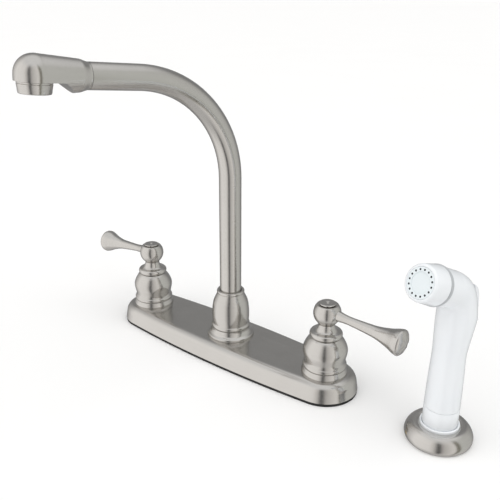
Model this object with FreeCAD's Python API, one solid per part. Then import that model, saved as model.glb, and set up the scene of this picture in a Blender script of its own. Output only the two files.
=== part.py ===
"""A two-handle kitchen faucet with a high swivel spout and a side spray, as separate pieces.

Millimetres. +X runs along the deck cover to the user's right, -Y points at the user and +Z is up.
The origin is on the spout's axis, on the sink deck under the gasket. The hot handle is at -X, and the
side spray stands in the fourth hole, beyond the cold handle at +X. Each piece is written to parts/.
"""

import FreeCAD
import Part
import math
import os
from FreeCAD import Vector

# ---------------------------------------------------------------- driving dimensions
# Sink deck and clearances
HOLE_PITCH = 101.6  # hole to hole: the handles stand one pitch out, the spray two pitches
DECK_GRIP = 6.0  # thickness of sink deck that the nuts are run up to
SEAM = 0.3  # open line between two pieces that only look joined
FIT = 0.1  # radial gap of a piece that is pushed or screwed into another
RUNNING = 0.06  # radial gap of a shaft that turns or slides in its hole
PLAY = 0.35  # gap between pieces that move past each other

# Deck cover and gasket
GASKET_T = 2.5
GASKET_INSET = 0.3
COVER_H = 14.5
COVER_END_R = 28.4
COVER_BOW = 4.8  # how far the long sides bulge past the round ends
COVER_DRAFT = 2.4
COVER_EDGE_R = 8.4
COVER_WALL = 2.2

# Valve bodies under the handles
SHANK_R = 10.5
SHANK_BORE_R = 5.6
NUT_SPARE = 5.0  # thread left between the nut and the relief groove
SUPPLY_THREAD_L = 24.0
RELIEF_W = 1.6
RELIEF_DEPTH = 0.8
WASHER_T = 1.6
WASHER_OVERHANG = 8.0
NUT_T = 9.0
NUT_WALL = 4.0
NUT_WING = 6.0
NUT_WING_T = 4.0
VALVE_FLANGE_T = 3.0
VALVE_FLANGE_STEP = 3.0
VALVE_WALL = 3.8
CROSS_R = 4.0
CROSS_BORE_R = 3.0
CROSS_INSERT = 2.0

# Ceramic cartridges
CARTRIDGE_R = 10.0
CARTRIDGE_WALL = 1.4
SEAL_T = 1.5
DISC_T = 2.5
DISC_GAP = 0.05
DISC_PORT_R = 5.6
DISC_CORE_R = 1.0
DISC_PORT_ANGLE = 80.0  # degrees that each of a disc's two openings spans
DRIVE_T = 2.5
WINDOW_R = 2.0
HEX_T = 4.0
HEX_STEP = 1.4
STEM_R = 4.0
STEM_FLAT = 3.1  # stem axis to each of its two flats
NECK_WALL = 2.8

# Beads: the half-round lines at the foot of a bonnet or the collar, and the cove above each
BEAD_H = 3.0
BEAD_BULGE = 0.4
COVE_H = 0.6
COVE_DEPTH = 0.7

# Bonnets and the rings under them
RING_H = 5.2
RING_FLARE = 1.4
BONNET_WALL = 3.7
BONNET_H = 26.8
BONNET_THREAD_L = 11.5
BONNET_BELLY = 0.5  # how far the belly stands out past the foot
BONNET_WAIST = 0.9  # how far the waist over the bead draws in
BONNET_TOP_R = 12.3
BONNET_LIP_T = 3.0
BONNET_NECK_GAP = 4.0

# Handles
HUB_SPIGOT_R = 7.6
HUB_SPIGOT_L = 2.6
HUB_SKIRT_R = 13.5
HUB_SKIRT_H = 4.4
HUB_NECK_R = 6.8
HUB_NECK_UP = 11.2  # from the skirt's underside to the narrowest place
BALL_R = 11.3
BALL_UP = 20.8  # from the skirt's underside to the ball's centre
BALL_CUT = 7.2  # from the ball's centre to its flat top
SOCKET_L = 12.0
STEM_SHY = 1.0  # gap over the stem in its socket
SCREW_R = 2.0
SCREW_HEAD_R = 3.7
SCREW_HEAD_T = 3.0
SCREW_GRIP = 9.0
SCREW_SPARE = 1.0  # hole left beyond the screw's end
CAP_R = 6.9
CAP_T = 1.4
CAP_GROOVE = 0.5
CAP_PLUG_L = 2.0
CAP_EDGE = 0.3
CAP_DOT_R = 0.9
CAP_WELL_R = 4.6
LEVER_UP = 0.6  # lever's axis above the ball's centre
LEVER_DROOP = 4.2  # degrees
LEVER_ROOT_R = 4.3
LEVER_WAIST_R = 3.45
LEVER_END_R = 10.6
LEVER_REACH = 64.8  # from the handle's axis to the rim of the flared end
LEVER_DOME = 4.6
LEVER_RIM_T = 0.4
LEVER_STUB_R = 2.4
LEVER_STUB_L = 3.8

# Spout post, collar and diverter
POST_WALL = 2.5
POST_BORE_R = 10.7
POST_CHAMBER_R = 9.4
POST_FLANGE_STEP = 3.5
CHAMBER_UP = 8.5  # from the post's floor to the diverter's ledge
POST_H = 38.5
NIPPLE_R = 6.6
NIPPLE_BORE_R = 3.5
NIPPLE_L = 22.0
COLLAR_RING_H = 8.0
COLLAR_RING_FLARE = 4.0
COLLAR_H = 35.3
COLLAR_WALL = 3.7
COLLAR_TOP_R = 12.4
COLLAR_BEAD_H = 2.7
COLLAR_BEAD_R = 0.6
BUSHING_T = 3.4
DIVERTER_FLOOR_T = 2.0
DIVERTER_H = 12.0
DIVERTER_WELL_R = 6.2
DIVERTER_CAP_T = 2.0
DIVERTER_PORT_R = 1.5
DIVERTER_PORTS = 6
SPOOL_R = 3.4
SPOOL_TIP_R = 2.3
SPOOL_DISC_R = 5.7
SPOOL_DISC_T = 1.6
SPOOL_TRAVEL = 1.8
SPOOL_COLLAR_UP = 2.2
SPOOL_COLLAR_T = 1.4
SPRING_WIRE_R = 0.3
SPRING_TURNS = 4

# Spout
SPOUT_TURN = -13.3  # degrees about Z from straight at the user
TUBE_R = 9.5
TUBE_WALL = 1.2
TUBE_STRAIGHT = 116.6  # upright run above the sleeve's flange
BEND_R = 88.0
BEND_ANGLE = 84.8
TUBE_RUN = 39.8
SLEEVE_GAP = 2.0  # from the diverter's top to the sleeve
SLEEVE_WALL = 2.8
SLEEVE_FLANGE_T = 2.0
SLEEVE_FLANGE_STEP = 1.1
SLEEVE_UPPER_L = 12.0
SEAL_R = 1.0
SEAL_PITCH = 6.0
HEAD_SPIGOT_L = 8.0
HEAD_SHOULDER_L = 7.3
HEAD_START_R = 11.2
HEAD_R = 13.5
HEAD_L = 36.8  # along the head from its joint to the aerator's axis
HEAD_FLAT_DROP = 4.3  # from the head's axis to the flat underside
SCOOP_TOP = 16.8  # from the aerator's axis back to the top of the scooped ramp
SCOOP_FOOT = 28.3
SCOOP_HOLLOW = 1.0
HEAD_WATERWAY_R = 3.6

# Aerator
AERATOR_R = 11.7
AERATOR_TIP_R = 10.9
AERATOR_H = 8.0
AERATOR_THREAD_R = 11.6
AERATOR_THREAD_L = 3.4
AERATOR_WALL = 1.5
AERATOR_LIP_T = 1.2
AERATOR_LIP_W = 0.9
AERATOR_LINE = 0.5  # height of the ring line near its top
AERATOR_LINE_DROP = 1.15
AERATOR_EDGE_R = 0.8
AERATOR_WASHER_T = 1.4
AERATOR_CHAMBER_R = 6.0
AERATOR_CHAMBER_H = 7.0
SCREEN_T = 6.0
SCREEN_HOLE_R = 0.8
SCREEN_PITCH = 2.9
SCREEN_ROWS = 2  # rings of holes round the middle hole, six more holes in each

# Spray holder
HOLDER_SHANK_R = 12.6
HOLDER_BORE_R = 10.4
HOLDER_DROP = 28.0
HOLDER_LIP_R = 14.6
HOLDER_LIP_T = 2.0
HOLDER_CONE_L = 7.0
FLANGE_R = 24.9
FLANGE_H = 12.0
FLANGE_BULGE_UP = 5.0  # height of the flange's widest place
FLANGE_TUCK = 1.4  # how far the flange draws in again at the sink
FLANGE_CROWN = 0.6  # how far the dome rises past the flange's inner edge

# Side spray
SPRAY_TURN = -15.9  # degrees about Z from straight at the user
SPRAY_FOOT_R = 13.0
FERRULE_H = 14.0
FERRULE_FLOOR_T = 5.0
FERRULE_THREAD_R = 9.6
FERRULE_THREAD_L = 9.0
HOSE_STUB_R = 5.0
HOSE_THREAD_R = 6.2
HOSE_THREAD_L = 12.0
HOSE_BORE_R = 3.2
HOSE_FLANGE_R = 7.2
HOSE_FLANGE_T = 2.2
HOSE_WASHER_T = 1.5
GRIP_WAIST_R = 11.9
GRIP_WAIST_UP = 42.0  # above the ferrule
GRIP_FRONT = 12.2  # front of the grip, under the head, from the spray's axis
GRIP_BACK = 17.2  # back of the grip under the trigger
GRIP_HALF_WIDTH = 13.6
GRIP_TOP_UP = 71.0
SHOULDER_INSET = 0.2  # the grip's top stays this much inside the elbow's sides
SPRAY_HEAD_UP = 93.3  # head's axis above the ferrule, where it crosses the spray's axis
SPRAY_PITCH = 20.5  # degrees the head looks up
ELBOW_R = 13.0
ELBOW_DROP = 2.6  # the elbow's middle below the head's axis, square to it
BARREL_ROOT_R = 12.0  # where the barrel starts, inside the elbow
BARREL_STEP_L = 5.0  # along the head to where the barrel has drawn clear of the elbow
BARREL_STEP_R = 12.9
BARREL_STEP_DROP = 0.9
BARREL_END_R = 13.5
BARREL_L = 26.4
SPRAY_RING_T = 2.8
SPRAY_RING_PROUD = 0.25
SPRAY_CAP_R = 14.1
SPRAY_CAP_L = 14.0
SPRAY_FACE_R = 12.9
SPRAY_CAP_WALL = 2.0
SPRAY_CAP_EDGE_R = 2.0
NOZZLE_DISC_T = 2.2
NOZZLE_DISC_DEPTH = 0.2  # how far the disc lies behind the cap's face
NOZZLE_DISC_SEAT = 1.0
NOZZLE_DISC_R = 10.6
NOZZLE_CENTRE_R = 7.3
NOZZLE_CENTRE_DEPTH = 0.5
NOZZLE_RING_R = 8.84
NOZZLE_HOLE_R = 0.75
NOZZLES = 16
SPRAY_BORE_R = 4.5

# Trigger and spray valve
TRIGGER_BACK = 18.5  # outer face of the trigger's free end, behind the spray's axis
TRIGGER_T = 3.1
TRIGGER_LEAN = 12.0  # degrees the trigger's face leans forwards, from its free end up
TRIGGER_HALF_WIDTH = 7.6
TRIGGER_DROP = 25.6  # trigger's free end below the head's axis
TRIGGER_KNEE_DROP = 1.0  # where the trigger bends forwards over the elbow
TRIGGER_TRAVEL = 6.0  # degrees
TRIGGER_TIP_UP = 3.9  # its upper edge above the head's axis
TRIGGER_TIP_T = 1.9
PIVOT_BACK = 7.8
PIVOT_UP = 0.0  # above the head's axis
PIVOT_R = 1.2
KNUCKLE_R = 2.7
KNUCKLE_HALF_WIDTH = 4.2
PIN_HALF_L = 7.0
POCKET_FOOT_GAP = 1.1  # under the trigger's free end, which drops a little as it swings
VALVE_DROP = 12.0  # spray valve's axis below the head's axis
VALVE_WELL_R = 5.6
VALVE_WELL_BACK = 7.6
VALVE_WELL_FRONT = 8.4
SEAT_T = 1.8
SEAT_BORE_R = 3.2
POPPET_STEM_R = 1.9
POPPET_HEAD_R = 4.9
POPPET_HEAD_T = 1.4
POPPET_SEAL_T = 1.0
OUTLET_L = 5.0  # room behind the seat, where the water leaves for the head
OUTLET_R = 2.4
POPPET_GAP = 0.2

# ---------------------------------------------------------------- heights that follow
COVER_TOP = GASKET_T + COVER_H
COVER_CEILING = COVER_TOP - COVER_WALL
VALVE_FLOOR = GASKET_T + VALVE_FLANGE_T
CROSS_Z = VALVE_FLOOR + CROSS_R + FIT
NUT_END = -(DECK_GRIP + WASHER_T + NUT_T)
RELIEF_TOP = NUT_END - NUT_SPARE
SUPPLY_TOP = RELIEF_TOP - RELIEF_W
SHANK_END = SUPPLY_TOP - SUPPLY_THREAD_L

RING_TOP = COVER_TOP + RING_H
BONNET_FOOT = RING_TOP + SEAM
BONNET_TOP = BONNET_FOOT + BONNET_H
VALVE_TOP = BONNET_FOOT + BONNET_THREAD_L
HUB_FOOT = BONNET_TOP + SEAM
BALL_Z = HUB_FOOT + BALL_UP
BALL_TOP = BALL_Z + BALL_CUT
LEVER_Z = BALL_Z + LEVER_UP
STEM_TOP = HUB_FOOT + SOCKET_L - STEM_SHY
SCREW_SEAT = BALL_TOP - SCREW_HEAD_T - CAP_PLUG_L

CARTRIDGE_FOOT = VALVE_FLOOR + SEAL_T
MOVING_DISC_FOOT = CARTRIDGE_FOOT + DISC_T + DISC_GAP
DRIVE_FOOT = MOVING_DISC_FOOT + DISC_T
DRIVE_TOP = DRIVE_FOOT + DRIVE_T
CARTRIDGE_NECK_TOP = BONNET_TOP - BONNET_NECK_GAP

POST_FLOOR = VALVE_FLOOR
DIVERTER_FOOT = POST_FLOOR + CHAMBER_UP
DIVERTER_TOP = DIVERTER_FOOT + DIVERTER_H
POST_TOP = POST_FLOOR + POST_H
COLLAR_FOOT = COVER_TOP + COLLAR_RING_H + SEAM
COLLAR_TOP = COLLAR_FOOT + COLLAR_H
SLEEVE_FOOT = DIVERTER_TOP + SLEEVE_GAP
SLEEVE_FLANGE_FOOT = POST_TOP + SEAM
TUBE_FOOT = SLEEVE_FLANGE_FOOT + SLEEVE_FLANGE_T
BUSHING_FOOT = TUBE_FOOT + SEAM
COLLAR_ROOF = BUSHING_FOOT + BUSHING_T + FIT

# ---------------------------------------------------------------- radii that follow
VALVE_BORE_R = CARTRIDGE_R + FIT
VALVE_R = VALVE_BORE_R + VALVE_WALL
BONNET_BORE_R = VALVE_R + FIT
BONNET_FOOT_R = BONNET_BORE_R + BONNET_WALL
RING_R = BONNET_FOOT_R + RING_FLARE
CARTRIDGE_WELL_R = CARTRIDGE_R - CARTRIDGE_WALL
DISC_R = CARTRIDGE_WELL_R - FIT
MOVING_DISC_R = CARTRIDGE_WELL_R - PLAY
STEM_BORE_R = STEM_R + RUNNING
POST_R = POST_BORE_R + POST_WALL
COLLAR_BORE_R = POST_R + FIT
COLLAR_FOOT_R = COLLAR_BORE_R + COLLAR_WALL
SLEEVE_R = POST_BORE_R - PLAY
TUBE_BORE_R = TUBE_R - TUBE_WALL
SLEEVE_UPPER_R = TUBE_BORE_R - FIT
HOLDER_MOUTH_R = SPRAY_FOOT_R + PLAY

# ---------------------------------------------------------------- spout and spray places
SPOUT_RISE = 90.0 - BEND_ANGLE  # degrees the spout's end looks up
BEND_Z = TUBE_FOOT + TUBE_STRAIGHT
BEND_END_REACH = BEND_R * (1.0 - math.cos(math.radians(BEND_ANGLE)))
BEND_END_Z = BEND_Z + BEND_R * math.sin(math.radians(BEND_ANGLE))
HEAD_REACH = BEND_END_REACH + TUBE_RUN * math.cos(math.radians(SPOUT_RISE))
HEAD_Z = BEND_END_Z + TUBE_RUN * math.sin(math.radians(SPOUT_RISE))
AERATOR_REACH = HEAD_REACH + HEAD_L  # this and the next two are for the head as built, before it is tipped
HEAD_FLAT_Z = HEAD_Z - HEAD_FLAT_DROP
AERATOR_SEAT_Z = HEAD_FLAT_Z + AERATOR_THREAD_L + AERATOR_WASHER_T

LIP_TOP = FLANGE_H + HOLDER_LIP_T
FERRULE_FOOT = LIP_TOP - HOLDER_CONE_L + PLAY
FERRULE_TOP = LIP_TOP + FERRULE_H
GRIP_FOOT = FERRULE_TOP + SEAM
SPRAY_HEAD_Z = FERRULE_TOP + SPRAY_HEAD_UP
PIVOT_Z = SPRAY_HEAD_Z + PIVOT_UP
VALVE_Z = SPRAY_HEAD_Z - VALVE_DROP
TRIGGER_END_Z = SPRAY_HEAD_Z - TRIGGER_DROP
TRIGGER_KNEE_Z = SPRAY_HEAD_Z - TRIGGER_KNEE_DROP
TRIGGER_TIP_Z = SPRAY_HEAD_Z + TRIGGER_TIP_UP
TRIGGER_TIP_BACK = PIVOT_BACK + PLAY
FERRULE_FLOOR = FERRULE_FOOT + FERRULE_FLOOR_T

AXIS_Z = Vector(0, 0, 1)
ORIGIN = Vector(0, 0, 0)


# ---------------------------------------------------------------- tools
def rod(radius, foot, top):
    """A cylinder on the Z axis."""
    return Part.makeCylinder(radius, top - foot, Vector(0, 0, foot))


def ring(inner, outer, foot, top):
    """A round washer on the Z axis."""
    return rod(outer, foot, top).cut(rod(inner, foot, top))


def outline(steps):
    """A closed wire in the XZ plane.

    A step is a point (x, z), or ("arc", middle, end), or ("curve", point, point, ...), each going on
    from the end of the step before it. The last step is joined back to the first point.
    """
    edges = []
    here = steps[0]
    for step in [*steps[1:], steps[0]]:
        if step[0] == "arc":
            stops = [Vector(x, 0, z) for x, z in (here, *step[1:])]
            edges.append(Part.Arc(*stops).toShape())
            here = step[-1]
        elif step[0] == "curve":
            curve = Part.BSplineCurve()
            curve.interpolate([Vector(x, 0, z) for x, z in (here, *step[1:])])
            edges.append(curve.toShape())
            here = step[-1]
        elif step != here:
            edges.append(Part.LineSegment(Vector(here[0], 0, here[1]), Vector(step[0], 0, step[1])).toShape())
            here = step
    return Part.Wire(edges)


def turned(steps):
    """A solid turned about Z from a closed outline of (radius, height) steps."""
    solid = Part.Face(outline(steps)).revolve(ORIGIN, AXIS_Z, 360)
    return Part.Solid(solid.Shells[0]) if solid.Volume > 0 else Part.Solid(solid.Shells[0].reversed())


def slab(steps, half_width):
    """A solid with its outline of (y, z) steps in the YZ plane and its thickness along X, about x = 0."""
    face = Part.Face(outline(steps))
    face.rotate(ORIGIN, AXIS_Z, 90)
    face.translate(Vector(-half_width, 0, 0))
    return face.extrude(Vector(2 * half_width, 0, 0))


def aimed(shape, pitch, y, z):
    """A shape built along +Z, turned to look at the user (-Y) and up by pitch, from the point (0, y, z)."""
    shape = shape.copy()
    shape.rotate(ORIGIN, Vector(1, 0, 0), 90 - pitch)
    shape.translate(Vector(0, y, z))
    return shape


def moved(shape, x=0.0, y=0.0, z=0.0, turn=0.0):
    """A copy turned about Z by turn degrees and then moved."""
    shape = shape.copy()
    shape.rotate(ORIGIN, AXIS_Z, turn)
    shape.translate(Vector(x, y, z))
    return shape


def around(shape, radius, count):
    """Copies of a shape spaced evenly on a circle about Z."""
    return [moved(moved(shape, x=radius), turn=360.0 * n / count) for n in range(count)]


def joined(*shapes):
    """One solid from shapes that touch or overlap."""
    return shapes[0].multiFuse(list(shapes[1:])).removeSplitter()


def hexagon(flat_radius, foot, top):
    """A hexagonal prism on the Z axis, flat_radius from its axis to each flat."""
    corner = Vector(flat_radius / math.cos(math.pi / 6), 0, foot)
    corners = [FreeCAD.Rotation(AXIS_Z, 60 * n).multVec(corner) for n in range(7)]
    return Part.Face(Part.makePolygon(corners)).extrude(Vector(0, 0, top - foot))


def coil(radius, wire_r, foot, top, turns):
    """A spring between two heights: half rings that lean to and fro, so that each runs on into the next."""
    rise = (top - foot - 2 * wire_r) / (2 * turns)
    lean = math.degrees(math.atan(rise / (2 * radius)))
    start = Vector(math.hypot(radius, rise / 2), 0, 0)
    half = Part.Face(Part.Wire(Part.makeCircle(wire_r, start, Vector(0, 1, 0)))).revolve(ORIGIN, AXIS_Z, 180)
    halves = []
    for n in range(2 * turns):
        step = moved(half, turn=180 * n)
        step.rotate(ORIGIN, Vector(0, 1, 0), -lean if n % 2 else lean)
        halves.append(moved(step, z=foot + wire_r + (n + 0.5) * rise))
    return joined(*halves)


# ---------------------------------------------------------------- deck cover and what is under it
def cover_outline(inset, z):
    """The cover's plan: round ends about the handles, joined by long gently bowed sides."""
    end_r = COVER_END_R - inset
    half = end_r + COVER_BOW
    side_r = (HOLE_PITCH**2 + half**2 - end_r**2) / (2 * COVER_BOW)
    reach = side_r - end_r
    x = side_r * HOLE_PITCH / reach
    y = side_r * (side_r - half) / reach - (side_r - half)
    tip = HOLE_PITCH + end_r
    arcs = (
        ((-x, y), (0, half), (x, y)),
        ((x, y), (tip, 0), (x, -y)),
        ((x, -y), (0, -half), (-x, -y)),
        ((-x, -y), (-tip, 0), (-x, y)),
    )
    return Part.Wire([Part.Arc(*[Vector(px, py, z) for px, py in arc]).toShape() for arc in arcs])


def cover_block(inset, top, edge_r):
    """The cover's form, drawn in by inset: drafted sides and a rounded upper edge."""
    outlines = [cover_outline(inset, GASKET_T), cover_outline(inset + COVER_DRAFT, top)]
    block = Part.makeLoft(outlines, True, True)
    upper = [e for e in block.Edges if e.BoundBox.ZMin > top - SEAM]
    return block.makeFillet(edge_r, upper)


def deck_cover():
    """A hollow shell with a hole for each valve body and one for the spout post."""
    shell = cover_block(0.0, COVER_TOP, COVER_EDGE_R)
    shell = shell.cut(cover_block(COVER_WALL, COVER_CEILING, COVER_EDGE_R - COVER_WALL))
    valve_hole = rod(VALVE_R + PLAY, COVER_CEILING - COVER_WALL, COVER_TOP + COVER_WALL)
    post_hole = rod(POST_R + PLAY, COVER_CEILING - COVER_WALL, COVER_TOP + COVER_WALL)
    return shell.cut([moved(valve_hole, x=-HOLE_PITCH), moved(valve_hole, x=HOLE_PITCH), post_hole])


def base_gasket():
    """The black gasket between the cover and the sink."""
    plate = Part.Face(cover_outline(GASKET_INSET, 0)).extrude(Vector(0, 0, GASKET_T))
    shank_hole = rod(SHANK_R + PLAY, -GASKET_T, GASKET_T * 2)
    nipple_hole = rod(NIPPLE_R + PLAY, -GASKET_T, GASKET_T * 2)
    return plate.cut([moved(shank_hole, x=-HOLE_PITCH), moved(shank_hole, x=HOLE_PITCH), nipple_hole])


def valve_body():
    """A cast body: a threaded shank through the sink, a base flange and a bored barrel, port towards +X."""
    body = joined(
        rod(SHANK_R, RELIEF_TOP, GASKET_T),
        rod(SHANK_R - RELIEF_DEPTH, SUPPLY_TOP, RELIEF_TOP),
        rod(SHANK_R, SHANK_END, SUPPLY_TOP),
        rod(VALVE_R + VALVE_FLANGE_STEP, GASKET_T, VALVE_FLOOR),
        rod(VALVE_R, VALVE_FLOOR, VALVE_TOP),
    )
    port_place = Vector(VALVE_R - CROSS_INSERT, 0, CROSS_Z)
    port = Part.makeCylinder(CROSS_R + FIT, VALVE_WALL, port_place, Vector(1, 0, 0))
    inlet = Part.makeCylinder(CROSS_BORE_R, VALVE_R, Vector(0, 0, CROSS_Z), Vector(1, 0, 0))
    bore = rod(VALVE_BORE_R, VALVE_FLOOR, VALVE_TOP)
    return body.cut([bore, rod(SHANK_BORE_R, SHANK_END, VALVE_FLOOR), port, inlet])


def cross_tube():
    """The tube that carries water from a valve body to the spout post, along +X."""
    start = POST_R - CROSS_INSERT + FIT
    length = HOLE_PITCH - VALVE_R + CROSS_INSERT - FIT - start
    place = Vector(start, 0, CROSS_Z)
    tube = Part.makeCylinder(CROSS_R, length, place, Vector(1, 0, 0))
    return tube.cut(Part.makeCylinder(CROSS_BORE_R, length, place, Vector(1, 0, 0)))


def shank_washer(radius):
    """A flat washer under the sink deck for a shank of this radius."""
    return ring(radius + FIT, radius + WASHER_OVERHANG, -DECK_GRIP - WASHER_T, -DECK_GRIP)


def shank_nut(radius):
    """A moulded nut with four finger wings, run up to the washer."""
    top = -DECK_GRIP - WASHER_T
    nut = rod(radius + NUT_WALL, top - NUT_T, top)
    wing = Part.makeBox(NUT_WING + NUT_WALL, NUT_WING_T, NUT_T, Vector(radius, -NUT_WING_T / 2, top - NUT_T))
    wings = [moved(wing, turn=90.0 * n) for n in range(4)]
    return joined(nut, *wings).cut(rod(radius + FIT, top - NUT_T, top))


# ---------------------------------------------------------------- cartridges
def cartridge():
    """The valve cartridge: a ported barrel for the discs, a hexagonal head and a neck for the stem."""
    body = joined(
        rod(CARTRIDGE_R, CARTRIDGE_FOOT, VALVE_TOP),
        hexagon(CARTRIDGE_R + HEX_STEP, VALVE_TOP, VALVE_TOP + HEX_T),
        rod(STEM_R + NECK_WALL, VALVE_TOP + HEX_T, CARTRIDGE_NECK_TOP),
    )
    well = rod(CARTRIDGE_WELL_R, CARTRIDGE_FOOT, DRIVE_TOP + PLAY)
    window_end = Vector(-CARTRIDGE_R, 0, DRIVE_FOOT)
    window = Part.makeCylinder(WINDOW_R, 2 * CARTRIDGE_R, window_end, Vector(1, 0, 0))
    return body.cut([well, rod(STEM_BORE_R, DRIVE_TOP, CARTRIDGE_NECK_TOP), window])


def cartridge_seal():
    """The rubber seal between the cartridge and the floor of the valve body."""
    return ring(SHANK_BORE_R, CARTRIDGE_R, VALVE_FLOOR, CARTRIDGE_FOOT)


def disc_ports(foot, top, turn):
    """The two openings on opposite sides of a disc, the first about the direction turn."""
    sector = Part.makeCylinder(DISC_PORT_R, top - foot, Vector(0, 0, foot), AXIS_Z, DISC_PORT_ANGLE)
    sector = sector.cut(rod(DISC_CORE_R, foot, top))
    start = turn - DISC_PORT_ANGLE / 2
    return [moved(sector, turn=start), moved(sector, turn=start + 180)]


def fixed_disc():
    """The ceramic disc that stays in the cartridge."""
    top = CARTRIDGE_FOOT + DISC_T
    return rod(DISC_R, CARTRIDGE_FOOT, top).cut(disc_ports(CARTRIDGE_FOOT, top, 90))


def moving_disc():
    """The ceramic disc that the stem turns over the fixed one: shut at rest, open after a quarter turn."""
    return rod(MOVING_DISC_R, MOVING_DISC_FOOT, DRIVE_FOOT).cut(disc_ports(MOVING_DISC_FOOT, DRIVE_FOOT, 0))


def stem():
    """The brass stem: a drive flange on the moving disc and two flats at the top for the handle."""
    shaft = joined(rod(MOVING_DISC_R, DRIVE_FOOT, DRIVE_TOP), rod(STEM_R, DRIVE_TOP, STEM_TOP))
    flat_foot = HUB_FOOT - HUB_SPIGOT_L - PLAY
    flat = Part.makeBox(STEM_R, 2 * STEM_R, STEM_TOP - flat_foot, Vector(STEM_FLAT, -STEM_R, flat_foot))
    hole = rod(SCREW_R + FIT, STEM_TOP - SCREW_GRIP - SCREW_SPARE, STEM_TOP)
    return shaft.cut([flat, moved(flat, turn=180), hole])


# ---------------------------------------------------------------- bonnets and handles
def bonnet_ring():
    """The flared ring between the cover and a bonnet."""
    return turned(
        [
            (VALVE_R + PLAY, COVER_TOP),
            (RING_R, COVER_TOP),
            (RING_R, COVER_TOP + 0.28 * RING_H),
            ("curve", (RING_R - 0.6 * RING_FLARE, COVER_TOP + 0.7 * RING_H), (BONNET_FOOT_R, RING_TOP)),
            (VALVE_R + PLAY, RING_TOP),
        ]
    )


def bead(radius, foot):
    """The outline of a half-round bead at the foot of a turned piece, with a cove above it."""
    top = foot + BEAD_H
    return (
        (radius, foot),
        ("arc", (radius + BEAD_BULGE, foot + BEAD_H / 2), (radius, top)),
        (radius - COVE_DEPTH, top + COVE_H),
    )


def bonnet():
    """The vase-shaped bell that screws down over a valve body."""
    foot_r = BONNET_FOOT_R
    top = BONNET_TOP
    mouth_r = HUB_SPIGOT_R + PLAY
    taper = foot_r - BONNET_TOP_R
    return turned(
        [
            (BONNET_BORE_R, BONNET_FOOT),
            *bead(foot_r, BONNET_FOOT),
            (
                "curve",
                (foot_r - BONNET_WAIST, BONNET_FOOT + 0.23 * BONNET_H),
                (foot_r + BONNET_BELLY, BONNET_FOOT + 0.50 * BONNET_H),
                (foot_r + BONNET_BELLY / 4, BONNET_FOOT + 0.66 * BONNET_H),
                (foot_r - 0.34 * taper, BONNET_FOOT + 0.83 * BONNET_H),
                (foot_r - 0.73 * taper, BONNET_FOOT + 0.95 * BONNET_H),
                (BONNET_TOP_R, top),
            ),
            (mouth_r, top),
            (mouth_r, top - BONNET_LIP_T),
            (BONNET_BORE_R, top - BONNET_LIP_T - 0.8 * (BONNET_BORE_R - mouth_r)),
            (BONNET_BORE_R, VALVE_TOP),
        ]
    )


def lever_place(shape):
    """A shape built along +Z from the handle's axis, laid along the lever, which points to +X."""
    shape = shape.copy()
    shape.rotate(ORIGIN, Vector(0, 1, 0), 90 + LEVER_DROOP)
    shape.translate(Vector(0, 0, LEVER_Z))
    return shape


def lever_seat():
    """How far along the lever its root meets the spot face in the ball."""
    return math.sqrt(BALL_R**2 - LEVER_ROOT_R**2) - SEAM


def handle_hub():
    """The skirt, neck and ball of a handle, bored for the stem, the screw, its cap and the lever."""
    neck_z = HUB_FOOT + HUB_NECK_UP
    skirt = HUB_SKIRT_R
    flare = skirt - HUB_NECK_R
    join_z = neck_z + 0.17 * (BALL_UP - HUB_NECK_UP)
    join_r = math.sqrt(BALL_R**2 - (BALL_Z - join_z) ** 2)
    top_r = math.sqrt(BALL_R**2 - BALL_CUT**2)
    body = turned(
        [
            (0, HUB_FOOT - HUB_SPIGOT_L),
            (HUB_SPIGOT_R, HUB_FOOT - HUB_SPIGOT_L),
            (HUB_SPIGOT_R, HUB_FOOT),
            (skirt - HUB_SKIRT_H / 4, HUB_FOOT),
            ("arc", (skirt, HUB_FOOT + 0.45 * HUB_SKIRT_H), (skirt - HUB_SKIRT_H / 4, HUB_FOOT + HUB_SKIRT_H)),
            (
                "curve",
                (skirt - 0.60 * flare, HUB_FOOT + 0.47 * HUB_NECK_UP),
                (HUB_NECK_R + 0.14 * flare, HUB_FOOT + 0.65 * HUB_NECK_UP),
                (HUB_NECK_R + 0.03 * flare, HUB_FOOT + 0.84 * HUB_NECK_UP),
                (HUB_NECK_R, neck_z),
                (join_r, join_z),
            ),
            ("arc", (BALL_R, BALL_Z), (top_r, BALL_TOP)),
            (0, BALL_TOP),
        ]
    )
    foot = HUB_FOOT - HUB_SPIGOT_L
    socket = rod(STEM_R + FIT, foot, HUB_FOOT + SOCKET_L)
    half = STEM_FLAT + FIT
    keep = Part.makeBox(2 * half, 4 * STEM_R, 2 * BALL_R, Vector(-half, -2 * STEM_R, foot))
    seat = lever_seat()
    stub_hole = lever_place(rod(LEVER_STUB_R + FIT, seat - LEVER_STUB_L - SEAM, seat))
    spot_face = lever_place(rod(LEVER_ROOT_R + FIT, seat, BALL_R + LEVER_ROOT_R))
    screw_hole = rod(SCREW_R + PLAY, HUB_FOOT, SCREW_SEAT)
    cap_well = rod(CAP_WELL_R, SCREW_SEAT, BALL_TOP)
    return body.cut([socket.common(keep), screw_hole, cap_well, stub_hole, spot_face])


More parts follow.
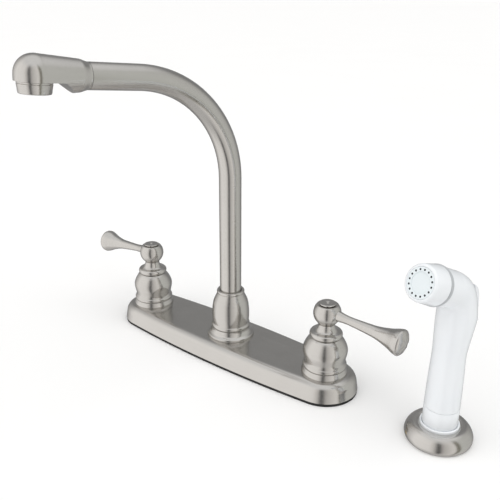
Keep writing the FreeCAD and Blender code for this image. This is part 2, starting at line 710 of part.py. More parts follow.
def lever():
    """The lever: a threaded stub, a slim shank and a flared trumpet end with a domed face."""
    seat = lever_seat()
    rim = LEVER_REACH
    run = rim - seat
    flare = LEVER_END_R - LEVER_WAIST_R
    form = turned(
        [
            (0, seat - LEVER_STUB_L),
            (LEVER_STUB_R, seat - LEVER_STUB_L),
            (LEVER_STUB_R, seat),
            (LEVER_ROOT_R, seat),
            (
                "curve",
                (0.7 * LEVER_ROOT_R + 0.3 * LEVER_WAIST_R, seat + 0.04 * run),
                (LEVER_WAIST_R, seat + 0.20 * run),
                (LEVER_WAIST_R + 0.13 * flare, seat + 0.52 * run),
                (LEVER_WAIST_R + 0.26 * flare, seat + 0.66 * run),
                (LEVER_WAIST_R + 0.56 * flare, seat + 0.82 * run),
                (LEVER_WAIST_R + 0.87 * flare, seat + 0.93 * run),
                (LEVER_END_R, rim - LEVER_RIM_T),
            ),
            (
                "curve",
                (0.95 * LEVER_END_R, rim + 0.28 * LEVER_DOME),
                (0.63 * LEVER_END_R, rim + 0.76 * LEVER_DOME),
                (0, rim + LEVER_DOME),
            ),
        ]
    )
    return lever_place(form)


def handle_screw():
    """The screw that holds the hub on the stem."""
    screw = joined(
        rod(SCREW_R, STEM_TOP - SCREW_GRIP, SCREW_SEAT),
        rod(SCREW_HEAD_R, SCREW_SEAT, SCREW_SEAT + SCREW_HEAD_T),
    )
    slot = Part.makeBox(2 * SCREW_HEAD_R, SCREW_R / 2, SCREW_HEAD_T / 2)
    slot.translate(Vector(-SCREW_HEAD_R, -SCREW_R / 4, SCREW_SEAT + SCREW_HEAD_T / 2))
    return screw.cut(slot)


def handle_cap():
    """The button over the screw: a plug, a shadow groove and a domed disc with a dot at its centre."""
    disc_z = BALL_TOP + CAP_GROOVE
    top = disc_z + CAP_T
    return turned(
        [
            (0, SCREW_SEAT + SCREW_HEAD_T + SEAM),
            (CAP_WELL_R - FIT, SCREW_SEAT + SCREW_HEAD_T + SEAM),
            (CAP_WELL_R - FIT, disc_z),
            (CAP_R - CAP_EDGE, disc_z),
            ("arc", (CAP_R, disc_z + 0.4 * CAP_T), (CAP_R - 2 * CAP_EDGE, top - CAP_EDGE)),
            (CAP_DOT_R * 2, top),
            ("arc", (CAP_DOT_R * 1.5, top - CAP_EDGE), (CAP_DOT_R, top)),
            (0, top),
        ]
    )


# ---------------------------------------------------------------- spout post, collar, diverter
def spout_post():
    """The cast post under the spout: spray outlet below, water from both sides, a bore for the spout."""
    body = joined(
        rod(NIPPLE_R, -NIPPLE_L, -DECK_GRIP),
        rod(NIPPLE_R - RELIEF_DEPTH, -DECK_GRIP, GASKET_T),
        rod(POST_R + POST_FLANGE_STEP, GASKET_T, POST_FLOOR),
        rod(POST_R, POST_FLOOR, POST_TOP),
    )
    port_place = Vector(POST_R - CROSS_INSERT, 0, CROSS_Z)
    port = Part.makeCylinder(CROSS_R + FIT, 2 * CROSS_INSERT, port_place, Vector(1, 0, 0))
    inlet = Part.makeCylinder(CROSS_BORE_R, 2 * POST_R, Vector(-POST_R, 0, CROSS_Z), Vector(1, 0, 0))
    bores = [
        rod(NIPPLE_BORE_R, -NIPPLE_L, POST_FLOOR),
        rod(POST_CHAMBER_R, POST_FLOOR, DIVERTER_FOOT),
        rod(POST_BORE_R, DIVERTER_FOOT, POST_TOP),
    ]
    return body.cut([port, moved(port, turn=180), inlet, *bores])


def spout_collar_ring():
    """The flared ring between the cover and the spout collar."""
    rim_r = COLLAR_FOOT_R + COLLAR_RING_FLARE
    rim_top = COVER_TOP + 0.2 * COLLAR_RING_H
    top = COVER_TOP + COLLAR_RING_H
    return turned(
        [
            (POST_R + PLAY, COVER_TOP),
            (rim_r, COVER_TOP),
            ("arc", (rim_r + 0.05 * COLLAR_RING_FLARE, (COVER_TOP + rim_top) / 2), (rim_r, rim_top)),
            (
                "curve",
                (rim_r - 0.55 * COLLAR_RING_FLARE, COVER_TOP + 0.45 * COLLAR_RING_H),
                (rim_r - 0.94 * COLLAR_RING_FLARE, COVER_TOP + 0.78 * COLLAR_RING_H),
                (COLLAR_FOOT_R, top),
            ),
            (POST_R + PLAY, top),
        ]
    )


def spout_collar():
    """The bell-shaped nut that screws on the post and holds the spout down, beaded at foot and top."""
    foot_r = COLLAR_FOOT_R
    foot = COLLAR_FOOT
    mouth_r = TUBE_R + PLAY
    neck_r = COLLAR_TOP_R - COLLAR_BEAD_R
    taper = foot_r - COLLAR_TOP_R
    return turned(
        [
            (COLLAR_BORE_R, foot),
            *bead(foot_r, foot),
            (
                "curve",
                (foot_r - 0.06 * taper, foot + 0.24 * COLLAR_H),
                (foot_r - 0.04 * taper, foot + 0.36 * COLLAR_H),
                (foot_r - 0.12 * taper, foot + 0.52 * COLLAR_H),
                (foot_r - 0.35 * taper, foot + 0.70 * COLLAR_H),
                (foot_r - 0.93 * taper, foot + 0.87 * COLLAR_H),
                (neck_r, COLLAR_TOP - COLLAR_BEAD_H),
            ),
            ("arc", (COLLAR_TOP_R, COLLAR_TOP - COLLAR_BEAD_H / 2), (neck_r, COLLAR_TOP)),
            (mouth_r, COLLAR_TOP),
            (mouth_r, COLLAR_ROOF),
            (COLLAR_BORE_R, COLLAR_ROOF),
        ]
    )


def swivel_bushing():
    """The plastic ring that the spout turns in, under the collar's roof."""
    return ring(TUBE_R + RUNNING, POST_R - PLAY, BUSHING_FOOT, BUSHING_FOOT + BUSHING_T)


def diverter_body():
    """The insert that guides the diverter spool, with ports for the water to the spout."""
    well_foot = DIVERTER_FOOT + DIVERTER_FLOOR_T
    body = rod(POST_BORE_R - FIT, DIVERTER_FOOT, DIVERTER_TOP)
    port_circle = (DIVERTER_WELL_R + POST_BORE_R) / 2
    ports = around(rod(DIVERTER_PORT_R, DIVERTER_FOOT, DIVERTER_TOP), port_circle - FIT, DIVERTER_PORTS)
    mouth = rod(SPOOL_R + PLAY, DIVERTER_FOOT, well_foot)
    return body.cut([mouth, rod(DIVERTER_WELL_R, well_foot, DIVERTER_TOP), *ports])


def diverter_cap():
    """The snap ring that closes the diverter's well."""
    return ring(SPOOL_TIP_R + PLAY, DIVERTER_WELL_R - FIT, DIVERTER_TOP - DIVERTER_CAP_T, DIVERTER_TOP)


def spool_heights():
    """The foot of the spool, the foot of its collar and the top of its collar."""
    collar_foot = DIVERTER_FOOT + DIVERTER_FLOOR_T + SPOOL_COLLAR_UP
    foot = DIVERTER_FOOT - SPOOL_TRAVEL - PLAY - SPOOL_DISC_T
    return foot, collar_foot, collar_foot + SPOOL_COLLAR_T


def diverter_spool():
    """The spool that shuts the way to the spout as the side spray opens."""
    foot, collar_foot, collar_top = spool_heights()
    return joined(
        rod(SPOOL_DISC_R, foot, foot + SPOOL_DISC_T),
        rod(SPOOL_R, foot + SPOOL_DISC_T, collar_foot),
        rod(DIVERTER_WELL_R - PLAY, collar_foot, collar_top),
        rod(SPOOL_TIP_R, collar_top, DIVERTER_TOP - SPOOL_TRAVEL / 2),
    )


def diverter_spring():
    """The light spring that pushes the spool back down."""
    collar_top = spool_heights()[2]
    radius = (SPOOL_TIP_R + DIVERTER_WELL_R) / 2
    return coil(radius, SPRING_WIRE_R, collar_top, DIVERTER_TOP - DIVERTER_CAP_T, SPRING_TURNS)


# ---------------------------------------------------------------- spout
def bent_rod(radius):
    """The spout's path as a solid rod of this radius, from the sleeve's flange to the head."""
    upright = rod(radius, TUBE_FOOT, BEND_Z)
    disc = Part.Face(Part.Wire(Part.makeCircle(radius, Vector(0, 0, BEND_Z), AXIS_Z)))
    bend = disc.revolve(Vector(0, -BEND_R, BEND_Z), Vector(1, 0, 0), BEND_ANGLE)
    run = aimed(rod(radius, 0, TUBE_RUN), SPOUT_RISE, -BEND_END_REACH, BEND_END_Z)
    return joined(upright, bend, run)


def spout_tube():
    """The bent tube."""
    return bent_rod(TUBE_R).cut(bent_rod(TUBE_BORE_R))


def spout_sleeve():
    """The brass end brazed into the tube: it turns in the post on two seals and is held by its flange."""
    body = joined(
        rod(SLEEVE_R, SLEEVE_FOOT, SLEEVE_FLANGE_FOOT),
        rod(SLEEVE_R + SLEEVE_FLANGE_STEP, SLEEVE_FLANGE_FOOT, TUBE_FOOT),
        rod(SLEEVE_UPPER_R, TUBE_FOOT, TUBE_FOOT + SLEEVE_UPPER_L),
    )
    bore = rod(SLEEVE_UPPER_R - SLEEVE_WALL / 2, SLEEVE_FOOT, TUBE_FOOT + SLEEVE_UPPER_L)
    half = SEAL_R + FIT
    grooves = [ring(seal_core_r(), SLEEVE_R + SEAL_R, z - half, z + half) for z in seal_heights()]
    return body.cut([bore, *grooves])


def seal_heights():
    """The heights of the spout's two seals."""
    lower = (SLEEVE_FOOT + SLEEVE_FLANGE_FOOT - SEAL_PITCH) / 2
    return lower, lower + SEAL_PITCH


def seal_core_r():
    """The radius of the groove that a seal lies in."""
    return POST_BORE_R - RUNNING - 2 * SEAL_R - FIT


def spout_seals():
    """The two rubber rings on the sleeve."""
    seal = Part.makeTorus(POST_BORE_R - RUNNING - SEAL_R, SEAL_R)
    return Part.makeCompound([moved(seal, z=z) for z in seal_heights()])


def tipped(shape):
    """A piece of the head, built level, tipped up about the head's joint in line with the tube's end."""
    shape = shape.copy()
    shape.rotate(Vector(0, -HEAD_REACH, HEAD_Z), Vector(1, 0, 0), -SPOUT_RISE)
    return shape


def under_head(shape):
    """A piece built about Z, put on the aerator's axis."""
    return tipped(moved(shape, y=-AERATOR_REACH))


def head_bar():
    """The head's round bar, growing towards the tip, with the spigot that enters the tube."""
    return turned(
        [
            (0, -HEAD_SPIGOT_L),
            (TUBE_BORE_R - FIT, -HEAD_SPIGOT_L),
            (TUBE_BORE_R - FIT, SEAM),
            (TUBE_R, SEAM),
            (
                "curve",
                (TUBE_R + 0.10 * (HEAD_START_R - TUBE_R), SEAM + 0.2 * HEAD_SHOULDER_L),
                (TUBE_R + 0.56 * (HEAD_START_R - TUBE_R), SEAM + 0.55 * HEAD_SHOULDER_L),
                (HEAD_START_R, HEAD_SHOULDER_L),
            ),
            (HEAD_R, HEAD_L),
            (0, HEAD_L),
        ]
    )


def head_scoop():
    """What is milled off under the head: flat over the aerator, with a hollow ramp behind it."""
    foot_z = HEAD_Z - 2 * HEAD_R
    top_y = SCOOP_TOP - AERATOR_REACH
    foot_y = SCOOP_FOOT - AERATOR_REACH
    ramp_foot_z = HEAD_Z - HEAD_R - SCOOP_HOLLOW
    middle = ((top_y + foot_y + SCOOP_HOLLOW) / 2, (HEAD_FLAT_Z + ramp_foot_z + SCOOP_HOLLOW) / 2)
    beyond = -(AERATOR_REACH + 2 * HEAD_R)
    steps = [
        (beyond, HEAD_FLAT_Z),
        (top_y, HEAD_FLAT_Z),
        ("arc", middle, (foot_y, ramp_foot_z)),
        (foot_y, foot_z),
        (beyond, foot_z),
    ]
    return slab(steps, 2 * HEAD_R)


def spout_head():
    """The spout's head: a bar and a domed elbow over the aerator, bored for the water."""
    bar = aimed(head_bar(), 0, -HEAD_REACH, HEAD_Z)
    half = HEAD_R * math.sin(math.pi / 4)
    dome = turned(
        [
            (0, HEAD_FLAT_Z),
            (HEAD_R, HEAD_FLAT_Z),
            (HEAD_R, HEAD_Z),
            ("arc", (half, HEAD_Z + half), (0, HEAD_Z + HEAD_R)),
        ]
    )
    form = joined(bar, moved(dome, y=-AERATOR_REACH)).cut(head_scoop())
    chamber_top = AERATOR_SEAT_Z + AERATOR_CHAMBER_H
    thread = rod(AERATOR_THREAD_R + FIT, HEAD_FLAT_Z, AERATOR_SEAT_Z)
    wells = joined(thread, rod(AERATOR_CHAMBER_R, AERATOR_SEAT_Z, chamber_top))
    start = Vector(0, HEAD_SPIGOT_L - HEAD_REACH, HEAD_Z)
    end = Vector(0, -AERATOR_REACH, chamber_top - HEAD_WATERWAY_R)
    waterway = Part.makeCylinder(HEAD_WATERWAY_R, (end - start).Length, start, end - start)
    mouth = Part.makeSphere(HEAD_WATERWAY_R, start)
    return tipped(form.cut([moved(wells, y=-AERATOR_REACH), waterway, mouth]))


def aerator_housing():
    """The aerator's cup: a thread up into the head, a ring line, tapered sides and a rounded lip."""
    top = HEAD_FLAT_Z - SEAM
    foot = HEAD_FLAT_Z - AERATOR_H
    line_z = top - AERATOR_LINE_DROP
    edge = AERATOR_EDGE_R
    bore_r = AERATOR_THREAD_R - AERATOR_WALL
    cup = turned(
        [
            (bore_r, HEAD_FLAT_Z + AERATOR_THREAD_L),
            (AERATOR_THREAD_R, HEAD_FLAT_Z + AERATOR_THREAD_L),
            (AERATOR_THREAD_R, top),
            (AERATOR_R, top),
            (AERATOR_R, line_z + AERATOR_LINE / 2),
            ("arc", (AERATOR_R - 0.7 * AERATOR_LINE, line_z), (AERATOR_R, line_z - AERATOR_LINE / 2)),
            (AERATOR_TIP_R, foot + edge),
            ("arc", (AERATOR_TIP_R - 0.3 * edge, foot + 0.3 * edge), (AERATOR_TIP_R - edge, foot)),
            (bore_r - AERATOR_LIP_W, foot),
            (bore_r - AERATOR_LIP_W, foot + AERATOR_LIP_T),
            (bore_r, foot + AERATOR_LIP_T),
        ]
    )
    return under_head(cup)


def aerator_screen():
    """The plastic insert that breaks the stream up, a disc of small holes."""
    foot = HEAD_FLAT_Z - AERATOR_H + AERATOR_LIP_T + FIT
    insert = rod(AERATOR_THREAD_R - AERATOR_WALL - FIT, foot, foot + SCREEN_T)
    hole = rod(SCREEN_HOLE_R, foot, foot + SCREEN_T)
    holes = [hole]
    for row in range(1, SCREEN_ROWS + 1):
        holes += around(hole, row * SCREEN_PITCH, 6 * row)
    return under_head(insert.cut(holes))


def aerator_washer():
    """The rubber washer that seals the aerator in the head."""
    foot = HEAD_FLAT_Z + AERATOR_THREAD_L
    return under_head(ring(AERATOR_CHAMBER_R, AERATOR_THREAD_R, foot, AERATOR_SEAT_Z))


# ---------------------------------------------------------------- spray holder
def spray_flange():
    """The domed metal ring round the spray's hole."""
    inner = HOLDER_SHANK_R + HOLDER_LIP_T + FIT
    dome_end = HOLDER_LIP_R + FIT
    return turned(
        [
            (inner, 0),
            (FLANGE_R - FLANGE_TUCK, 0),
            (
                "curve",
                (FLANGE_R - FLANGE_TUCK / 4, 0.3 * FLANGE_BULGE_UP),
                (FLANGE_R, FLANGE_BULGE_UP),
                (FLANGE_R - 0.18 * (FLANGE_R - inner), 0.76 * FLANGE_H),
                (FLANGE_R - 0.49 * (FLANGE_R - inner), FLANGE_H + FLANGE_CROWN / 3),
                (FLANGE_R - 0.79 * (FLANGE_R - inner), FLANGE_H + FLANGE_CROWN),
                (dome_end, FLANGE_H),
            ),
            (inner, FLANGE_H),
        ]
    )


def spray_holder():
    """The white insert in the flange: a lip, a coned mouth for the spray and a threaded shank."""
    sleeve_r = HOLDER_SHANK_R + HOLDER_LIP_T
    edge = 0.4 * HOLDER_LIP_T
    cone_foot = LIP_TOP - HOLDER_CONE_L
    return turned(
        [
            (HOLDER_BORE_R, -HOLDER_DROP),
            (HOLDER_SHANK_R, -HOLDER_DROP),
            (HOLDER_SHANK_R, 0),
            (sleeve_r, 0),
            (sleeve_r, FLANGE_H),
            (HOLDER_LIP_R, FLANGE_H),
            (HOLDER_LIP_R, LIP_TOP - edge),
            ("arc", (HOLDER_LIP_R - 0.3 * edge, LIP_TOP - 0.3 * edge), (HOLDER_LIP_R - edge, LIP_TOP)),
            (HOLDER_MOUTH_R, LIP_TOP),
            (HOLDER_BORE_R, cone_foot),
        ]
    )


# ---------------------------------------------------------------- side spray, built about its own axis
def hose_stub():
    """The hose's end fitting, which the spray turns on: a flange inside the ferrule and a thread below."""
    flange_top = FERRULE_FLOOR + PLAY + HOSE_FLANGE_T
    thread_top = FERRULE_FOOT - PLAY - SEAM
    body = joined(
        rod(HOSE_THREAD_R, thread_top - HOSE_THREAD_L, thread_top),
        rod(HOSE_STUB_R, thread_top, FERRULE_FLOOR + PLAY),
        rod(HOSE_FLANGE_R, FERRULE_FLOOR + PLAY, flange_top),
    )
    return body.cut(rod(HOSE_BORE_R, thread_top - HOSE_THREAD_L, flange_top))


def spray_ferrule():
    """The collar screwed on the grip's foot, coned to stand in the holder."""
    form = turned(
        [
            (0, FERRULE_FOOT),
            (HOLDER_BORE_R - PLAY, FERRULE_FOOT),
            (SPRAY_FOOT_R, LIP_TOP),
            (SPRAY_FOOT_R, FERRULE_TOP),
            (0, FERRULE_TOP),
        ]
    )
    hole = rod(HOSE_STUB_R + RUNNING, FERRULE_FOOT, FERRULE_FLOOR)
    return form.cut([hole, rod(FERRULE_THREAD_R + FIT, FERRULE_FLOOR, FERRULE_TOP)])


def spray_washer():
    """The rubber washer between the hose's end and the grip."""
    foot = FERRULE_TOP - FERRULE_THREAD_L - HOSE_WASHER_T
    return ring(HOSE_BORE_R, FERRULE_THREAD_R, foot, foot + HOSE_WASHER_T)


def ellipse(half_width, front, back, z):
    """A closed oval at height z, front and back measured from the spray's axis."""
    middle = (back - front) / 2
    depth = (back + front) / 2
    circle = Part.makeCircle(1.0, ORIGIN, AXIS_Z)
    stretch = FreeCAD.Matrix(half_width, 0, 0, 0, 0, depth, 0, middle, 0, 0, 1, z, 0, 0, 0, 1)
    return Part.Wire([Part.Edge(circle).transformGeometry(stretch)])


def grip_form():
    """The outside of the grip: round at the foot, slim at the waist and swelling back under the trigger."""
    waist_z = FERRULE_TOP + GRIP_WAIST_UP
    top_z = FERRULE_TOP + GRIP_TOP_UP
    step = (top_z - waist_z) / 3
    waist, side, front, back = GRIP_WAIST_R, GRIP_HALF_WIDTH, GRIP_FRONT, GRIP_BACK
    middle_r = waist + 0.64 * (SPRAY_FOOT_R - waist)
    stations = (
        (SPRAY_FOOT_R, SPRAY_FOOT_R, SPRAY_FOOT_R, GRIP_FOOT),
        (middle_r, middle_r, middle_r, (GRIP_FOOT + waist_z) / 2),
        (waist, waist, waist, waist_z),
        (waist + 0.25 * (side - waist), waist, waist + 0.22 * (back - waist), waist_z + step),
        (waist + 0.65 * (side - waist), front, waist + 0.62 * (back - waist), waist_z + 2 * step),
        (side, front, back, top_z),
    )
    return Part.makeLoft([ellipse(*station) for station in stations], True, False)


def shoulder_form():
    """The rounded top of the grip, which runs into the head."""
    top_z = FERRULE_TOP + GRIP_TOP_UP
    nearly = ELBOW_R - SHOULDER_INSET
    elbow_z = SPRAY_HEAD_Z - ELBOW_DROP
    stations = (
        (GRIP_HALF_WIDTH, GRIP_FRONT, GRIP_BACK, top_z),
        ((GRIP_HALF_WIDTH + nearly) / 2, GRIP_FRONT, (2 * GRIP_BACK + ELBOW_R) / 3, (top_z + elbow_z) / 2),
        (nearly, GRIP_FRONT, ELBOW_R - ELBOW_DROP, elbow_z),
    )
    return Part.makeLoft([ellipse(*station) for station in stations], True, False)


def barrel_form():
    """The head's barrel: round at the ring, and drawn down at the back to meet the elbow's ball."""
    stations = (
        (BARREL_ROOT_R, ELBOW_DROP, 0),
        (BARREL_STEP_R, BARREL_STEP_DROP, BARREL_STEP_L),
        (BARREL_END_R, 0, BARREL_L),
    )
    rounds = [Part.Wire(Part.makeCircle(r, Vector(0, -drop, along), AXIS_Z)) for r, drop, along in stations]
    return headed(Part.makeLoft(rounds, True, True))


def headed(shape):
    """A shape built along +Z, laid along the spray head's axis."""
    return aimed(shape, SPRAY_PITCH, 0, SPRAY_HEAD_Z)


def spray_body():
    """The white body: grip, elbow and head barrel, with the waterway, valve well and trigger pocket."""
    ball = headed(Part.makeSphere(ELBOW_R, Vector(0, -ELBOW_DROP, 0)))
    thread = rod(FERRULE_THREAD_R, FERRULE_TOP - FERRULE_THREAD_L, GRIP_FOOT + SEAM)
    form = joined(thread, grip_form(), shoulder_form(), ball, barrel_form())
    waterway = rod(SPRAY_BORE_R, FERRULE_TOP - FERRULE_THREAD_L, VALVE_Z)
    outlet = headed(rod(SPRAY_BORE_R, 0, BARREL_L))
    link_foot = Vector(0, VALVE_WELL_BACK - OUTLET_R, VALVE_Z)
    link_top = Vector(0, 0, SPRAY_HEAD_Z)
    link = Part.makeCylinder(OUTLET_R, (link_top - link_foot).Length, link_foot, link_top - link_foot)
    well = valve_placed(rod(VALVE_WELL_R, -VALVE_WELL_BACK, VALVE_WELL_FRONT))
    guide = valve_placed(rod(POPPET_STEM_R + RUNNING, -TRIGGER_BACK, 0))
    return form.cut([waterway, outlet, link, well, guide, *trigger_pocket()])


def trigger_face(z):
    """How far behind the spray's axis the trigger's outer face lies at a height under its knee."""
    return TRIGGER_BACK - (z - TRIGGER_END_Z) * math.tan(math.radians(TRIGGER_LEAN))


def trigger_pocket():
    """What is cut from the body for the trigger: a shallow bay, a slot for the knuckle and the pin's hole."""
    beyond = TRIGGER_BACK + TRIGGER_T
    above = PIVOT_Z + ELBOW_R
    foot_z = TRIGGER_END_Z - POCKET_FOOT_GAP
    swing = (PIVOT_Z - foot_z) * math.tan(math.radians(TRIGGER_TRAVEL))
    bay = slab(
        [
            (TRIGGER_TIP_BACK - 2 * PLAY, above),
            (TRIGGER_TIP_BACK - 2 * PLAY, TRIGGER_TIP_Z - TRIGGER_TIP_T - PLAY),
            (PIVOT_BACK + KNUCKLE_R / 2, PIVOT_Z - KNUCKLE_R),
            (trigger_face(foot_z) - TRIGGER_T - swing - PLAY, foot_z),
            (beyond, foot_z),
            (beyond, above),
        ],
        TRIGGER_HALF_WIDTH + PLAY,
    )
    slot_r = KNUCKLE_R + PLAY
    slot_half = KNUCKLE_HALF_WIDTH + PLAY
    throat = Part.makeBox(2 * slot_half, ELBOW_R, 2 * slot_r)
    throat.translate(Vector(-slot_half, PIVOT_BACK, PIVOT_Z - slot_r))
    return [bay, on_pivot(slot_r, slot_half), throat, on_pivot(PIVOT_R + RUNNING, PIN_HALF_L + PLAY)]


def on_pivot(radius, half_width):
    """A cylinder on the trigger's pivot axis, about the spray's middle."""
    end = Vector(-half_width, PIVOT_BACK, PIVOT_Z)
    return Part.makeCylinder(radius, 2 * half_width, end, Vector(1, 0, 0))


def valve_placed(shape):
    """A shape built along +Z, laid along the spray valve's axis, +Z becoming forwards."""
    return aimed(shape, 0, 0, VALVE_Z)


def trigger():
    """The thumb plate: it leans down the back of the grip, bent over the elbow, with a knuckle on its pin."""
    knee = trigger_face(TRIGGER_KNEE_Z)
    middle_z = (TRIGGER_END_Z + TRIGGER_KNEE_Z) / 2
    root = PIVOT_BACK + KNUCKLE_R
    plate = slab(
        [
            (TRIGGER_BACK - TRIGGER_T, TRIGGER_END_Z),
            (TRIGGER_BACK, TRIGGER_END_Z),
            (
                "curve",
                (trigger_face(middle_z), middle_z),
                (knee, TRIGGER_KNEE_Z),
                ((knee + TRIGGER_TIP_BACK) / 2, TRIGGER_KNEE_Z + 0.7 * (TRIGGER_TIP_Z - TRIGGER_KNEE_Z)),
                (TRIGGER_TIP_BACK, TRIGGER_TIP_Z),
            ),
            (TRIGGER_TIP_BACK, TRIGGER_TIP_Z - TRIGGER_TIP_T),
            (
                "curve",
                (root - 0.2 * KNUCKLE_R, TRIGGER_KNEE_Z - 0.4 * KNUCKLE_R),
                (trigger_face(middle_z) - TRIGGER_T, middle_z),
                (TRIGGER_BACK - TRIGGER_T, TRIGGER_END_Z),
            ),
        ],
        TRIGGER_HALF_WIDTH,
    )
    rims = [e for e in plate.Edges if e.Length > TRIGGER_DROP / 2 and abs(e.CenterOfMass.x) > TRIGGER_HALF_WIDTH / 2]
    outer = max(e.CenterOfMass.y for e in rims) - SEAM
    plate = plate.makeFillet(0.4 * TRIGGER_T, [e for e in rims if e.CenterOfMass.y > outer])
    knuckle = on_pivot(KNUCKLE_R, KNUCKLE_HALF_WIDTH)
    return joined(plate, knuckle).cut(on_pivot(PIVOT_R + RUNNING, 2 * KNUCKLE_HALF_WIDTH))


def trigger_pin():
    """The pin that the trigger swings on."""
    return on_pivot(PIVOT_R, PIN_HALF_L)


def valve_seat():
    """The ring that the spray valve shuts against."""
    foot = -VALVE_WELL_BACK + OUTLET_L
    return valve_placed(ring(SEAT_BORE_R, VALVE_WELL_R - FIT, foot, foot + SEAT_T))


def poppet_heights():
    """Along the valve: the seal's back, the head's back and the head's front."""
    seal = -VALVE_WELL_BACK + OUTLET_L + SEAT_T + SEAM / 2
    return seal, seal + POPPET_SEAL_T, seal + POPPET_SEAL_T + POPPET_HEAD_T


def poppet():
    """The valve's poppet: a stem out to the trigger and a head that carries the seal."""
    seal, back, front = poppet_heights()
    end = TRIGGER_T + POPPET_GAP - trigger_face(VALVE_Z + POPPET_STEM_R)
    return valve_placed(joined(rod(POPPET_STEM_R, end, back), rod(POPPET_HEAD_R, back, front)))


def poppet_seal():
    """The rubber ring on the poppet's head."""
    seal, back, _ = poppet_heights()
    return valve_placed(ring(POPPET_STEM_R + FIT, POPPET_HEAD_R, seal, back))


def poppet_spring():
    """The spring that shuts the poppet and pushes the trigger back."""
    front = poppet_heights()[2]
    radius = POPPET_HEAD_R - 2 * SPRING_WIRE_R
    return valve_placed(coil(radius, SPRING_WIRE_R, front, VALVE_WELL_FRONT, SPRING_TURNS))


def spray_ring():
    """The grey ring between the barrel and the spray's cap."""
    return headed(ring(NOZZLE_CENTRE_R, SPRAY_CAP_R + SPRAY_RING_PROUD, BARREL_L, BARREL_L + SPRAY_RING_T))


def spray_cap():
    """The white cap: slightly coned, with a rounded rim round the nozzle disc."""
    foot = BARREL_L + SPRAY_RING_T
    face = foot + SPRAY_CAP_L
    edge = SPRAY_CAP_EDGE_R
    return headed(
        turned(
            [
                (SPRAY_CAP_R - SPRAY_CAP_WALL, foot),
                (SPRAY_CAP_R, foot),
                (SPRAY_FACE_R, face - edge),
                ("arc", (SPRAY_FACE_R - 0.3 * edge, face - 0.3 * edge), (SPRAY_FACE_R - edge, face)),
                (NOZZLE_DISC_R + FIT, face - NOZZLE_DISC_DEPTH),
                (NOZZLE_DISC_R + FIT, face - NOZZLE_DISC_DEPTH - NOZZLE_DISC_T),
                (NOZZLE_DISC_R - NOZZLE_DISC_SEAT, face - NOZZLE_DISC_DEPTH - NOZZLE_DISC_T),
                (NOZZLE_DISC_R - NOZZLE_DISC_SEAT, face - NOZZLE_DISC_T - SPRAY_CAP_WALL),
            ]
        )
    )


def nozzle_disc():
    """The face of the spray: a ring of nozzle holes round a slightly sunk centre."""
    face = BARREL_L + SPRAY_RING_T + SPRAY_CAP_L - NOZZLE_DISC_DEPTH
    disc = rod(NOZZLE_DISC_R, face - NOZZLE_DISC_T, face)
    sunk = rod(NOZZLE_CENTRE_R, face - NOZZLE_CENTRE_DEPTH, face)
    hole = rod(NOZZLE_HOLE_R, face - 2 * NOZZLE_DISC_T, face)
    return headed(disc.cut([sunk, *around(hole, NOZZLE_RING_R, NOZZLES)]))


# ---------------------------------------------------------------- the assembly
def at_handle(side, shape):
    """A handle piece built about the origin with its lever to +X, placed on the hot or cold side."""
    return moved(shape, x=-HOLE_PITCH, turn=180) if side == "hot" else moved(shape, x=HOLE_PITCH)


def at_valve(side, shape):
    """A valve piece built about the origin with its port to +X, its port turned to the spout post."""
    return moved(shape, x=-HOLE_PITCH) if side == "hot" else moved(shape, x=HOLE_PITCH, turn=180)


def pair(shape):
    """One copy of a shape at each handle."""
    return Part.makeCompound([moved(shape, x=-HOLE_PITCH), moved(shape, x=HOLE_PITCH)])


def base_pieces():
    """What is fixed to the sink."""
    tube = cross_tube()
    pieces = {
        "deck_cover": deck_cover(),
        "base_gasket": base_gasket(),
        "cross_tubes": Part.makeCompound([tube, moved(tube, turn=180)]),
        "mounting_washers": pair(shank_washer(SHANK_R)),
        "mounting_nuts": pair(shank_nut(SHANK_R)),
        "cartridge_seals": pair(cartridge_seal()),
        "fixed_discs": pair(fixed_disc()),
        "spout_post": spout_post(),
        "spout_collar_ring": spout_collar_ring(),
        "spout_collar": spout_collar(),
        "swivel_bushing": swivel_bushing(),
        "diverter_body": diverter_body(),
        "diverter_cap": diverter_cap(),
        "diverter_spring": diverter_spring(),
        "diverter_spool": diverter_spool(),
    }
    for side in ("hot", "cold"):
        pieces[f"valve_body_{side}"] = at_valve(side, valve_body())
        pieces[f"cartridge_{side}"] = at_valve(side, cartridge())
        pieces[f"bonnet_ring_{side}"] = at_valve(side, bonnet_ring())
        pieces[f"bonnet_{side}"] = at_valve(side, bonnet())
    return pieces


def handle_pieces():
    """What turns with each handle."""
    makers = {
        "handle_hub": handle_hub,
        "lever": lever,
        "handle_cap": handle_cap,
        "handle_screw": handle_screw,
        "stem": stem,
        "moving_disc": moving_disc,
    }
    sides = ("hot", "cold")
    return {f"{name}_{side}": at_handle(side, make()) for name, make in makers.items() for side in sides}


def spout_pieces():
    """What swivels with the spout, turned from straight ahead to its place at rest."""
    pieces = {
        "spout_tube": spout_tube(),
        "spout_sleeve": spout_sleeve(),
        "spout_seals": spout_seals(),
        "spout_head": spout_head(),
        "aerator_housing": aerator_housing(),
        "aerator_screen": aerator_screen(),
        "aerator_washer": aerator_washer(),
    }
    return {name: moved(shape, turn=SPOUT_TURN) for name, shape in pieces.items()}


